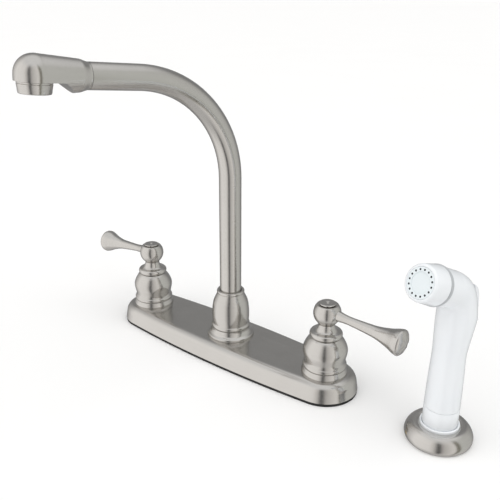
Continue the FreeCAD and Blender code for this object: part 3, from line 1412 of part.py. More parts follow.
def spray_pieces():
    """The side spray and its holder, in the fourth hole of the sink."""
    pieces = {
        "spray_flange": spray_flange(),
        "spray_holder": spray_holder(),
        "holder_washer": shank_washer(HOLDER_SHANK_R),
        "holder_nut": shank_nut(HOLDER_SHANK_R),
        "hose_stub": hose_stub(),
        "spray_ferrule": spray_ferrule(),
        "spray_washer": spray_washer(),
        "spray_body": spray_body(),
        "spray_ring": spray_ring(),
        "spray_cap": spray_cap(),
        "nozzle_disc": nozzle_disc(),
        "trigger": trigger(),
        "trigger_pin": trigger_pin(),
        "valve_seat": valve_seat(),
        "poppet": poppet(),
        "poppet_seal": poppet_seal(),
        "poppet_spring": poppet_spring(),
    }
    return {name: moved(shape, x=2 * HOLE_PITCH, turn=SPRAY_TURN) for name, shape in pieces.items()}


def main():
    """Build every piece and write it to its own file."""
    os.makedirs("parts", exist_ok=True)
    pieces = {**base_pieces(), **handle_pieces(), **spout_pieces(), **spray_pieces()}
    for name, shape in pieces.items():
        if not shape.isValid():
            print(f"{name}: not valid")
        print(f"{name}: {len(shape.Solids)} solid(s), {shape.Volume:.1f} mm3")
        shape.exportStep(f"parts/{name}.step")
    print(f"{len(pieces)} pieces")


main()
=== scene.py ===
"""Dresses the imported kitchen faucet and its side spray: finer pieces, finishes, studio and camera.

Sizes are millimetres and angles are degrees; a finished mesh is in metres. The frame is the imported
model's: +X along the deck cover to the user's right, -Y towards the user, +Z up, with the origin on the
spout's axis at the sink deck.
"""

import sys
import logging
import math
from dataclasses import dataclass
from enum import Enum
from itertools import pairwise
from typing import Iterable

import bpy
from mathutils import Matrix, Vector


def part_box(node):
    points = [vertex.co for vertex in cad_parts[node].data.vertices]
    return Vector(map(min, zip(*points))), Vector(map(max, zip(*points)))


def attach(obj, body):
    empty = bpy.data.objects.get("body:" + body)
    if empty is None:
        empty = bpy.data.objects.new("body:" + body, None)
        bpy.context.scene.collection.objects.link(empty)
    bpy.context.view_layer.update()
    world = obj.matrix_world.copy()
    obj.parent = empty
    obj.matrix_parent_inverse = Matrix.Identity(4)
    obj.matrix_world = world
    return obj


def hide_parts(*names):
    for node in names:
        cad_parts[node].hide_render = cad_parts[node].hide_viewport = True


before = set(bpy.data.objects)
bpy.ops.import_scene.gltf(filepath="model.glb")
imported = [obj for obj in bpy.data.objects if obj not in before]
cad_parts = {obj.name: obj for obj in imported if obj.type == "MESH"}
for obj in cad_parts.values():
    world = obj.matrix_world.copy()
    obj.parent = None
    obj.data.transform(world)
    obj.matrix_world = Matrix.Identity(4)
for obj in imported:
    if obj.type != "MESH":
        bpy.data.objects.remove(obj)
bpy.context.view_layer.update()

LOG = logging.getLogger("faucet")
MM = 0.001  # metres in a millimetre
CURVE_STEP = 0.7  # length of one straight piece of a drawn curve
EDGE = 0.15  # the small round on every machined edge
SMOOTH_ANGLE = 32.0  # edges sharper than this stay crisp
LATHE_STEPS = 112  # faces round a turned piece
ROD_STEPS = 48  # faces round a plain rod
JOIN = 1e-6  # metres: points nearer than this are one point
PITCH = 101.6  # hole to hole along the sink
SEAM = 0.3  # open line between two pieces that only look joined
FIT = 0.1  # radial gap of a piece pushed or screwed into another
PLAY = 0.35  # gap between pieces that move past each other

Piece = bpy.types.Object
Point2 = tuple[float, float]
Triple = tuple[float, float, float]


class Side(Enum):
    """The two handles. A value is the sign of the handle's place along X."""

    HOT = -1
    COLD = 1

    @property
    def word(self) -> str:
        """The word that the handle's node names end with."""
        return self.name.lower()

    @property
    def turn(self) -> float:
        """The angle about Z that turns a lever from +X to its rest place."""
        return 0.0 if self is Side.COLD else 180.0


class Brush(Enum):
    """Which way the brush lines of a metal finish run. A value is the pattern's scale along each axis."""

    ROUND = (25.0, 25.0, 1500.0)
    ALONG_X = (18.0, 1500.0, 1100.0)
    ACROSS_LEVER = (1500.0, 60.0, 60.0)
    SATIN = (700.0, 700.0, 700.0)


# ---------------------------------------------------------------- shader maths
class Wire:
    """A socket of a node tree that can be used in arithmetic."""

    def __init__(self, graph: "Graph", socket: bpy.types.NodeSocket) -> None:
        """Wraps a socket.

        Args:
            graph: the graph that new nodes are added to.
            socket: the output that this value comes from.
        """
        self.graph = graph
        self.socket = socket

    def _math(self, operation: str, *values: "Wire | float") -> "Wire":
        """Adds a Math node and returns its output."""
        return self.graph.add("ShaderNodeMath", {"operation": operation}, dict(enumerate(values)))

    def __add__(self, other: "Wire | float") -> "Wire":
        """self + other."""
        return self._math("ADD", self, other)

    __radd__ = __add__

    def __sub__(self, other: "Wire | float") -> "Wire":
        """self - other."""
        return self._math("SUBTRACT", self, other)

    def __mul__(self, other: "Wire | float") -> "Wire":
        """self * other."""
        return self._math("MULTIPLY", self, other)

    __rmul__ = __mul__

    def __truediv__(self, other: "Wire | float") -> "Wire":
        """self / other."""
        return self._math("DIVIDE", self, other)

    def atan2(self, other: "Wire") -> "Wire":
        """The angle of the point (other, self), in radians."""
        return self._math("ARCTAN2", self, other)


class Graph:
    """A node tree, with one way to add a node to it."""

    def __init__(self, tree: bpy.types.NodeTree) -> None:
        """Empties a tree and keeps it.

        Args:
            tree: the tree of a material or a world.
        """
        self.tree = tree
        tree.nodes.clear()

    def add(
        self, kind: str, settings: dict | None = None, inputs: dict | None = None, output: int | str = 0
    ) -> Wire:
        """Adds a node.

        Args:
            kind: Blender's name of the node's type.
            settings: attributes set before the sockets. "stops" are a ramp's (place, colour) pairs.
            inputs: values or wires by socket name or number.
            output: the socket that is returned.

        Returns:
            The node's output.
        """
        node = self.tree.nodes.new(kind)
        for name, value in (settings or {}).items():
            if name == "stops":
                self._set_stops(node.color_ramp, value)
            else:
                setattr(node, name, value)
        for name, value in (inputs or {}).items():
            if isinstance(value, Wire):
                self.tree.links.new(value.socket, node.inputs[name])
            else:
                node.inputs[name].default_value = value
        return Wire(self, node.outputs[output]) if node.outputs else Wire(self, None)

    @staticmethod
    def _set_stops(ramp: bpy.types.ColorRamp, stops: Iterable[tuple[float, tuple]]) -> None:
        """Gives a colour ramp its stops."""
        stops = list(stops)
        while len(ramp.elements) < len(stops):
            ramp.elements.new(1.0)
        for element, (place, colour) in zip(ramp.elements, stops):
            element.position = place
            element.color = (*colour, 1.0)

    def place(self, scale: Triple) -> Wire:
        """The object's coordinates, stretched by a scale along each axis."""
        coordinates = self.add("ShaderNodeTexCoord", output="Object")
        return self.add("ShaderNodeMapping", None, {"Vector": coordinates, "Scale": scale})

    def noise(self, scale: Triple, detail: float = 2.0) -> Wire:
        """Noise from 0 to 1 over the object's coordinates, in features of about 1 / scale metres."""
        inputs = {"Vector": self.place(scale), "Scale": 1.0, "Detail": detail, "Roughness": 0.55}
        return self.add("ShaderNodeTexNoise", None, inputs)

    def blend(self, share: Wire, low: tuple, high: tuple) -> Wire:
        """A colour between two colours."""
        inputs = {"Factor": share, "A": (*low, 1.0), "B": (*high, 1.0)}
        return self.add("ShaderNodeMix", {"data_type": "RGBA"}, inputs, output="Result")

    def bump(self, height: Wire, strength: float, distance: float) -> Wire:
        """A normal from a height pattern."""
        inputs = {"Height": height, "Strength": strength, "Distance": distance}
        return self.add("ShaderNodeBump", None, inputs)


# ---------------------------------------------------------------- finishes
@dataclass(frozen=True)
class Finish:
    """What every finish has: a name, the name of its slot and the shader's constant values."""

    name: str
    slot: str
    constants: tuple[tuple[str, float], ...] = ()

    def surface(self, graph: Graph) -> dict:
        """The sockets that vary over the surface. A kind of finish gives its own."""
        raise NotImplementedError

    def material(self) -> bpy.types.Material:
        """The finish's material, made the first time that it is asked for.

        Returns:
            The material.
        """
        found = bpy.data.materials.get(self.name)
        if found:
            return found
        made = bpy.data.materials.new(self.name)
        made.use_nodes = True
        graph = Graph(made.node_tree)
        inputs = {**dict(self.constants), **self.surface(graph)}
        shader = graph.add("ShaderNodeBsdfPrincipled", None, inputs)
        graph.add("ShaderNodeOutputMaterial", None, {"Surface": shader})
        return made


@dataclass(frozen=True)
class BrushedMetal(Finish):
    """Plated metal with fine brush lines, faint stains and a slightly uneven gloss."""

    light: Triple = (0.68, 0.665, 0.645)
    dark: Triple = (0.56, 0.545, 0.52)
    roughness: float = 0.2
    brush: Brush = Brush.SATIN
    line_depth: float = 0.02 * MM

    def surface(self, graph: Graph) -> dict:
        """Brush lines shift the colour, the gloss and the normal, and a slow cloud shifts the first two.

        Args:
            graph: the material's graph.

        Returns:
            The shader's varying sockets.
        """
        lines = graph.noise(self.brush.value, detail=3.0)
        cloud = graph.noise((45.0, 45.0, 45.0), detail=2.0)
        share = lines * 0.55 + cloud * 0.45
        return {
            "Base Color": graph.blend(share, self.dark, self.light),
            "Metallic": 1.0,
            "Roughness": self.roughness + (lines - 0.5) * 0.12 + (cloud - 0.5) * 0.06,
            "Normal": graph.bump(lines, 0.09, self.line_depth),
        }


@dataclass(frozen=True)
class MouldedPlastic(Finish):
    """Moulded plastic: a faint flow cloud in the colour and a very fine orange peel in the gloss."""

    light: Triple = (0.86, 0.885, 0.91)
    dark: Triple = (0.82, 0.85, 0.885)
    roughness: float = 0.22
    peel_depth: float = 0.01 * MM

    def surface(self, graph: Graph) -> dict:
        """A cloud shifts the colour, and a fine peel shifts the gloss and the normal.

        Args:
            graph: the material's graph.

        Returns:
            The shader's varying sockets.
        """
        cloud = graph.noise((60.0, 60.0, 35.0), detail=3.0)
        peel = graph.noise((900.0, 900.0, 900.0), detail=1.0)
        return {
            "Base Color": graph.blend(cloud, self.dark, self.light),
            "Roughness": self.roughness + (cloud - 0.5) * 0.06 + (peel - 0.5) * 0.05,
            "Normal": graph.bump(peel, 0.12, self.peel_depth),
        }


@dataclass(frozen=True)
class MattRubber(Finish):
    """Matt rubber with a pale bloom in patches and a fine grain."""

    light: Triple = (0.035, 0.034, 0.033)
    dark: Triple = (0.012, 0.012, 0.012)

    def surface(self, graph: Graph) -> dict:
        """A bloom shifts the colour and the roughness, and a grain shifts the normal.

        Args:
            graph: the material's graph.

        Returns:
            The shader's varying sockets.
        """
        bloom = graph.noise((80.0, 80.0, 80.0), detail=4.0)
        grain = graph.noise((2500.0, 2500.0, 2500.0), detail=1.0)
        return {
            "Base Color": graph.blend(bloom, self.dark, self.light),
            "Roughness": 0.62 + bloom * 0.25,
            "Normal": graph.bump(grain, 0.3, 0.02 * MM),
        }


@dataclass(frozen=True)
class MachinedMetal(Finish):
    """Bare cast or machined metal with tool marks round it and darker, duller patches."""

    light: Triple = (0.78, 0.60, 0.30)
    dark: Triple = (0.55, 0.40, 0.18)
    roughness: float = 0.3

    def surface(self, graph: Graph) -> dict:
        """Tool marks shift the normal, and patches of tarnish shift the colour and the gloss.

        Args:
            graph: the material's graph.

        Returns:
            The shader's varying sockets.
        """
        marks = graph.noise((30.0, 30.0, 1800.0), detail=2.0)
        tarnish = graph.noise((120.0, 120.0, 120.0), detail=4.0)
        return {
            "Base Color": graph.blend(tarnish, self.dark, self.light),
            "Metallic": 1.0,
            "Roughness": self.roughness + tarnish * 0.2,
            "Normal": graph.bump(marks, 0.3, 0.03 * MM),
        }


@dataclass(frozen=True)
class FloorPaint(Finish):
    """The pale studio floor."""

    def surface(self, graph: Graph) -> dict:
        """A barely visible cloud over the floor.

        Args:
            graph: the material's graph.

        Returns:
            The shader's varying sockets.
        """
        cloud = graph.noise((3.0, 3.0, 3.0))
        colour = graph.blend(cloud, (0.93, 0.93, 0.93), (0.95, 0.95, 0.95))
        return {"Base Color": colour, "Roughness": 0.9 + cloud * 0.05}


NICKEL_ROUND = BrushedMetal("nickel_brushed_round", "brushed_nickel", brush=Brush.ROUND)
NICKEL_LONG = BrushedMetal("nickel_brushed_long", "brushed_nickel", brush=Brush.ALONG_X)
NICKEL_LEVER = BrushedMetal("nickel_brushed_lever", "brushed_nickel", brush=Brush.ACROSS_LEVER)
NICKEL_SATIN = BrushedMetal("nickel_satin", "brushed_nickel", brush=Brush.SATIN)
RUBBER = MattRubber("black_rubber", "black_rubber")
BRASS = MachinedMetal("machined_brass", "brass")
COPPER = MachinedMetal("drawn_copper", "copper", light=(0.80, 0.45, 0.30), dark=(0.55, 0.27, 0.16))
STEEL = MachinedMetal("stainless_steel", "steel", light=(0.68, 0.68, 0.67), dark=(0.50, 0.50, 0.50))
CERAMIC = MouldedPlastic(
    "lapped_ceramic", "ceramic_disc", light=(0.92, 0.91, 0.88), dark=(0.87, 0.86, 0.82), roughness=0.12
)
WHITE = MouldedPlastic(
    "white_gloss_plastic", "white_plastic", (("Coat Weight", 0.25), ("Coat Roughness", 0.08))
)
FACE_WHITE = MouldedPlastic(
    "nozzle_face_plastic", "white_plastic", light=(0.80, 0.86, 0.88), dark=(0.76, 0.82, 0.85), roughness=0.3
)
GREY = MouldedPlastic(
    "grey_plastic", "grey_plastic", light=(0.40, 0.42, 0.43), dark=(0.33, 0.35, 0.36), roughness=0.35
)
ACETAL = MouldedPlastic(
    "natural_acetal", "acetal", light=(0.86, 0.86, 0.83), dark=(0.80, 0.80, 0.77), roughness=0.4
)
# Painted shade: a near-black plastic for the cups that darken the nozzle holes.
PAINTED_HOLE_SHADE = MouldedPlastic(
    "nozzle_painted_shade", "grey_plastic", light=(0.05, 0.055, 0.06), dark=(0.03, 0.033, 0.036), roughness=0.5
)


# ---------------------------------------------------------------- modelling
class Outline:
    """The half section of a turned piece, drawn point by point as (radius, height)."""

    def __init__(self, radius: float, height: float) -> None:
        """Starts at a point."""
        self.points: list[Vector] = [Vector((radius, height))]

    def line(self, *points: Point2) -> "Outline":
        """Goes straight from point to point."""
        self.points += [Vector(p) for p in points]
        return self

    def curve(self, *points: Point2) -> "Outline":
        """Goes smoothly through points.

        Args:
            points: the places that the curve passes through, the last one its end.

        Returns:
            The outline, to go on from.
        """
        stops = [self.points[-1], *(Vector(p) for p in points)]
        self.points += smooth_path(stops)[1:]
        return self

    def arc(self, middle: Point2, end: Point2) -> "Outline":
        """Goes round an arc through a middle point.

        Args:
            middle: a point on the arc.
            end: the arc's end.

        Returns:
            The outline, to go on from.
        """
        a, b, c = self.points[-1], Vector(middle), Vector(end)
        ab, ac = b - a, c - a
        cross = 2 * (ab.x * ac.y - ab.y * ac.x)
        across = ac.y * ab.length_squared - ab.y * ac.length_squared
        along = ab.x * ac.length_squared - ac.x * ab.length_squared
        centre = a + Vector((across, along)) / cross
        start = math.atan2(a.y - centre.y, a.x - centre.x)
        sweep = (math.atan2(c.y - centre.y, c.x - centre.x) - start) % math.tau
        if cross < 0:
            sweep -= math.tau
        radius = (a - centre).length
        count = max(4, math.ceil(abs(sweep) * radius / CURVE_STEP))
        for n in range(1, count + 1):
            angle = start + sweep * n / count
            self.points.append(centre + Vector((math.cos(angle), math.sin(angle))) * radius)
        return self

    def ridges(self, end_height: float, pitch: float, depth: float) -> "Outline":
        """Goes up or down a screw thread, drawn as rings.

        Args:
            end_height: where the thread ends.
            pitch: ridge to ridge.
            depth: crest to root.

        Returns:
            The outline, to go on from.
        """
        radius, height = self.points[-1]
        count = max(1, round(abs(end_height - height) / pitch))
        step = (end_height - height) / count
        for n in range(count):
            self.line((radius - depth, height + (n + 0.5) * step), (radius, height + (n + 1) * step))
        return self

    def closed(self) -> "Outline":
        """Goes straight back to the start."""
        return self.line(tuple(self.points[0]))


def smooth_path(stops: list[Vector], step: float = CURVE_STEP) -> list[Vector]:
    """Points close together on the smooth curve through some stops.

    Args:
        stops: what the curve passes through. Only the distance in the first two coordinates counts.
        step: about how far apart the points lie.

    Returns:
        The points, with both ends.
    """
    padded = [2 * stops[0] - stops[1], *stops, 2 * stops[-1] - stops[-2]]
    points = [stops[0]]
    for before, start, end, after in zip(padded, padded[1:], padded[2:], padded[3:]):
        count = max(2, math.ceil((end - start).to_2d().length / step))
        bend = 2 * before - 5 * start + 4 * end - after
        lift = 3 * start - before - 3 * end + after
        for t in (n / count for n in range(1, count + 1)):
            points.append(0.5 * (2 * start + (end - before) * t + bend * t**2 + lift * t**3))
    return points


@dataclass(frozen=True)
class Packed:
    """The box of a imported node, in millimetres."""

    low: Vector
    high: Vector

    @classmethod
    def of(cls, node: str) -> "Packed":
        """Measures a node at rest."""
        low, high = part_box(node)
        return cls(low / MM, high / MM)

    @property
    def height(self) -> float:
        """The node's height."""
        return self.high.z - self.low.z

    @property
    def radius(self) -> float:
        """Half the node's width along X."""
        return (self.high.x - self.low.x) / 2

    @property
    def axis(self) -> Matrix:
        """The place of the node's upright axis, at the sink deck."""
        middle = (self.low + self.high) / 2
        return moved_to(middle.x, middle.y, 0.0)


def moved_to(x: float, y: float, z: float) -> Matrix:
    """A move, in millimetres."""
    return Matrix.Translation(Vector((x, y, z)) * MM)


def turned_by(degrees: float, axis: str = "Z") -> Matrix:
    """A rotation about one of the axes."""
    return Matrix.Rotation(math.radians(degrees), 4, axis)


def aimed(rise: float, y: float, z: float) -> Matrix:
    """Lays a piece built along +Z towards the user, looking up by rise degrees, from (y, z)."""
    return moved_to(0.0, y, z) @ turned_by(90.0 - rise, "X")


class Bench:
    """Modelling with Blender's own operators, one active piece at a time."""

    @staticmethod
    def deselect() -> None:
        """Leaves edit mode and selects nothing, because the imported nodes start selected."""
        if bpy.context.object and bpy.context.object.mode != "OBJECT":
            bpy.ops.object.mode_set(mode="OBJECT")
        bpy.ops.object.select_all(action="DESELECT")

    @staticmethod
    def take(piece: Piece) -> Piece:
        """Makes a piece the only selected one, and active."""
        Bench.deselect()
        piece.select_set(True)
        bpy.context.view_layer.objects.active = piece
        return piece

    @staticmethod
    def start(name: str, place: Vector, corners: int, radius: float = 1.0) -> Piece:
        """Adds a circle to model from, in edit mode, with all of it selected.

        Args:
            name: the piece's name.
            place: the circle's centre.
            corners: its corners.
            radius: its radius.

        Returns:
            The new piece.
        """
        Bench.deselect()
        bpy.ops.mesh.primitive_circle_add(vertices=corners, radius=radius * MM, location=place * MM)
        piece = bpy.context.object
        piece.name = piece.data.name = name
        bpy.ops.object.mode_set(mode="EDIT")
        bpy.ops.mesh.select_all(action="SELECT")
        return piece

    @staticmethod
    def finish_mesh(piece: Piece) -> Piece:
        """Merges doubles, turns every face outwards, leaves edit mode and settles the piece."""
        bpy.ops.mesh.select_all(action="SELECT")
        bpy.ops.mesh.remove_doubles(threshold=JOIN)
        bpy.ops.mesh.normals_make_consistent(inside=False)
        bpy.ops.object.mode_set(mode="OBJECT")
        return Bench.settle(piece)

    @staticmethod
    def draw(name: str, points: list[Vector]) -> Piece:
        """Draws a line of edges through points of the XZ plane by extruding a point, in edit mode.

        Args:
            name: the piece's name.
            points: the points, as (x, z).

        Returns:
            The new piece.
        """
        piece = Bench.start(name, Vector((points[0].x, 0.0, points[0].y)), corners=3)
        bpy.ops.mesh.merge(type="CENTER")
        for here, there in pairwise(points):
            step = Vector((there.x - here.x, 0.0, there.y - here.y)) * MM
            bpy.ops.mesh.extrude_vertices_move(TRANSFORM_OT_translate={"value": step})
        bpy.ops.mesh.select_all(action="SELECT")
        return piece

    @staticmethod
    def lathe(name: str, outline: Outline, steps: int = LATHE_STEPS) -> Piece:
        """Turns an outline about Z.

        Args:
            name: the piece's name.
            outline: the half section, closed or with both ends on the axis.
            steps: faces round the piece.

        Returns:
            The piece, with its normals outwards.
        """
        piece = Bench.draw(name, outline.points)
        bpy.ops.mesh.spin(steps=steps, angle=math.tau, center=(0.0, 0.0, 0.0), axis=(0.0, 0.0, 1.0))
        return Bench.finish_mesh(piece)

    @staticmethod
    def slab(name: str, points: list[Vector], half_width: float) -> Piece:
        """Makes a plate from an outline in the YZ plane, as wide as half_width to each side.

        Args:
            name: the piece's name.
            points: the corners, as (y, z).
            half_width: half the plate's width along X.

        Returns:
            The plate.
        """
        piece = Bench.draw(name, [*points, points[0]])
        bpy.ops.mesh.remove_doubles(threshold=JOIN)
        bpy.ops.mesh.select_all(action="SELECT")
        bpy.ops.mesh.edge_face_add()
        bpy.ops.transform.translate(value=(0.0, half_width * MM, 0.0))
        bpy.ops.mesh.extrude_region_move(TRANSFORM_OT_translate={"value": (0.0, -2 * half_width * MM, 0.0)})
        Bench.finish_mesh(piece)
        return Bench.put(piece, turned_by(90.0))

    @staticmethod
    def sweep(name: str, sections: list["Section"], corners: int = LATHE_STEPS) -> Piece:
        """Extrudes an oval through a row of sections and closes both ends.

        Args:
            name: the piece's name.
            sections: the ovals, each a little further along.
            corners: corners of each oval.

        Returns:
            The piece.
        """
        piece = Bench.start(name, Vector((0.0, 0.0, 0.0)), corners)
        bpy.ops.mesh.edge_face_add()
        last = Section(0.0, 0.0, 0.0, 1.0, 1.0)
        for n, section in enumerate(sections):
            if n:
                bpy.ops.mesh.extrude_region_move()
            last.pose_as(section)
            last = section
        return Bench.finish_mesh(piece)

    @staticmethod
    def settle(piece: Piece) -> Piece:
        """Puts a piece's place into its mesh, so that its object sits at the origin."""
        Bench.take(piece)
        bpy.ops.object.transform_apply(location=True, rotation=True, scale=True)
        return piece

    @staticmethod
    def modify(piece: Piece, kind: str, **settings: object) -> Piece:
        """Adds a modifier and applies it.

        Args:
            piece: the piece.
            kind: Blender's name of the modifier's type.
            settings: the modifier's values.

        Returns:
            The piece.
        """
        Bench.take(piece)
        modifier = piece.modifiers.new(kind.lower(), kind)
        for name, value in settings.items():
            setattr(modifier, name, value)
        bpy.ops.object.modifier_apply(modifier=modifier.name)
        return piece

    @staticmethod
    def carve(piece: Piece, *cutters: Piece) -> Piece:
        """Cuts pieces out of a piece and removes them.

        Args:
            piece: what is cut.
            cutters: what is cut out of it.

        Returns:
            The piece.
        """
        for cutter in cutters:
            Bench.modify(piece, "BOOLEAN", object=cutter, operation="DIFFERENCE", solver="EXACT")
            bpy.data.objects.remove(cutter)
        return piece

    @staticmethod
    def soften(piece: Piece, width: float = EDGE) -> Piece:
        """Rounds a piece's sharp edges a little and shades it smooth between the ones left."""
        angle = math.radians(SMOOTH_ANGLE)
        Bench.modify(piece, "BEVEL", width=width * MM, segments=2, limit_method="ANGLE", angle_limit=angle)
        return Bench.shade(piece)

    @staticmethod
    def shade(piece: Piece) -> Piece:
        """Shades a piece smooth, apart from its sharp edges."""
        Bench.take(piece)
        bpy.ops.object.shade_smooth_by_angle(angle=math.radians(SMOOTH_ANGLE))
        return piece

    @staticmethod
    def put(piece: Piece, place: Matrix) -> Piece:
        """Moves and turns a piece by a matrix and puts that into its mesh."""
        piece.matrix_world = place @ piece.matrix_world
        return Bench.settle(piece)

    @staticmethod
    def twin(piece: Piece, name: str, place: Matrix) -> Piece:
        """Copies a piece with a mesh of its own.

        Args:
            piece: the piece to copy.
            name: the copy's name.
            place: where the copy goes from the first piece's place.

        Returns:
            The copy.
        """
        copy = piece.copy()
        copy.data = piece.data.copy()
        copy.name = copy.data.name = name
        bpy.context.scene.collection.objects.link(copy)
        return Bench.put(copy, place)


@dataclass(frozen=True)
class Section:
    """One oval of a swept piece: its centre in the YZ plane, its tilt about X and its half sizes."""

    y: float
    z: float
    tilt: float
    half_width: float
    half_depth: float

    def pose_as(self, other: "Section") -> None:
        """Moves the selected oval, in edit mode, from this section to another.

        Args:
            other: the section that the oval becomes.
        """
        centre = Vector((0.0, self.y, self.z)) * MM
        self._rotate(-self.tilt, centre)
        scale = (other.half_width / self.half_width, other.half_depth / self.half_depth, 1.0)
        bpy.ops.transform.resize(value=scale, center_override=centre)
        self._rotate(other.tilt, centre)
        step = Vector((0.0, other.y - self.y, other.z - self.z)) * MM
        bpy.ops.transform.translate(value=step)

    @staticmethod
    def _rotate(degrees: float, centre: Vector) -> None:
        """Turns the selection about X by the right-hand rule, which the operator counts the other way."""
        if degrees:
            bpy.ops.transform.rotate(value=-math.radians(degrees), orient_axis="X", center_override=centre)


def rod(name: str, radius: float, foot: float, top: float, place: Matrix) -> Piece:
    """A round rod, built along +Z and then placed."""
    outline = Outline(0.0, foot).line((radius, foot), (radius, top), (0.0, top))
    return Bench.put(Bench.lathe(name, outline, steps=ROD_STEPS), place)


def dress(piece: Piece, finish: Finish) -> None:
    """Gives a piece one finish all over."""
    piece.data.materials.clear()
    piece.data.materials.append(finish.material())


def dress_nodes(finish: Finish, *names: str) -> None:
    """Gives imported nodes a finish, keeping their shapes."""
    for name in names:
        dress(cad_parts[name], finish)
        LOG.info("%s keeps its packed shape in %s", name, finish.name)


def finished(piece: Piece, finish: Finish, body: str, *nodes: str) -> None:
    """Dresses a new piece and says what it belongs to.

    Args:
        piece: the piece, in place.
        finish: its finish.
        body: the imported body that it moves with.
        nodes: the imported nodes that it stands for.
    """
    dress(piece, finish)
    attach(piece, body)
    if nodes:
        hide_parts(*nodes)
    LOG.info("%s: %d faces, rides on %s", piece.name, len(piece.data.polygons), body)


def turned(
    name: str, outline: Outline, place: Matrix, finish: Finish, body: str, node: str, edge: float = EDGE
) -> None:
    """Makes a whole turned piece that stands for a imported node.

    Args:
        name: the piece's name.
        outline: its half section.
        place: where its axis goes.
        finish: its finish.
        body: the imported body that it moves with.
        node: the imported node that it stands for.
        edge: the small round on its edges.
    """
    piece = Bench.soften(Bench.lathe(name, outline), edge)
    finished(Bench.put(piece, place), finish, body, node)


# ---------------------------------------------------------------- sub-assemblies
@dataclass(frozen=True)
class Bead:
    """The half-round line at the foot of a turned cover, with a cove above it."""

    height: float = 3.0
    bulge: float = 0.4
    cove_height: float = 0.6
    cove_depth: float = 0.7

    def draw(self, outline: Outline) -> Outline:
        """Goes on from the foot of an outline round the bead and into the cove."""
        radius, foot = outline.points[-1]
        top = foot + self.height
        outline.arc((radius + self.bulge, foot + self.height / 2), (radius, top))
        return outline.line((radius - self.cove_depth, top + self.cove_height))


@dataclass
class DeckPlate:
    """The long cover and its gasket."""

    def build(self) -> None:
        """Dresses the cover with lines along it, and the gasket in rubber."""
        dress_nodes(NICKEL_LONG, "deck_cover")
        dress_nodes(RUBBER, "base_gasket")


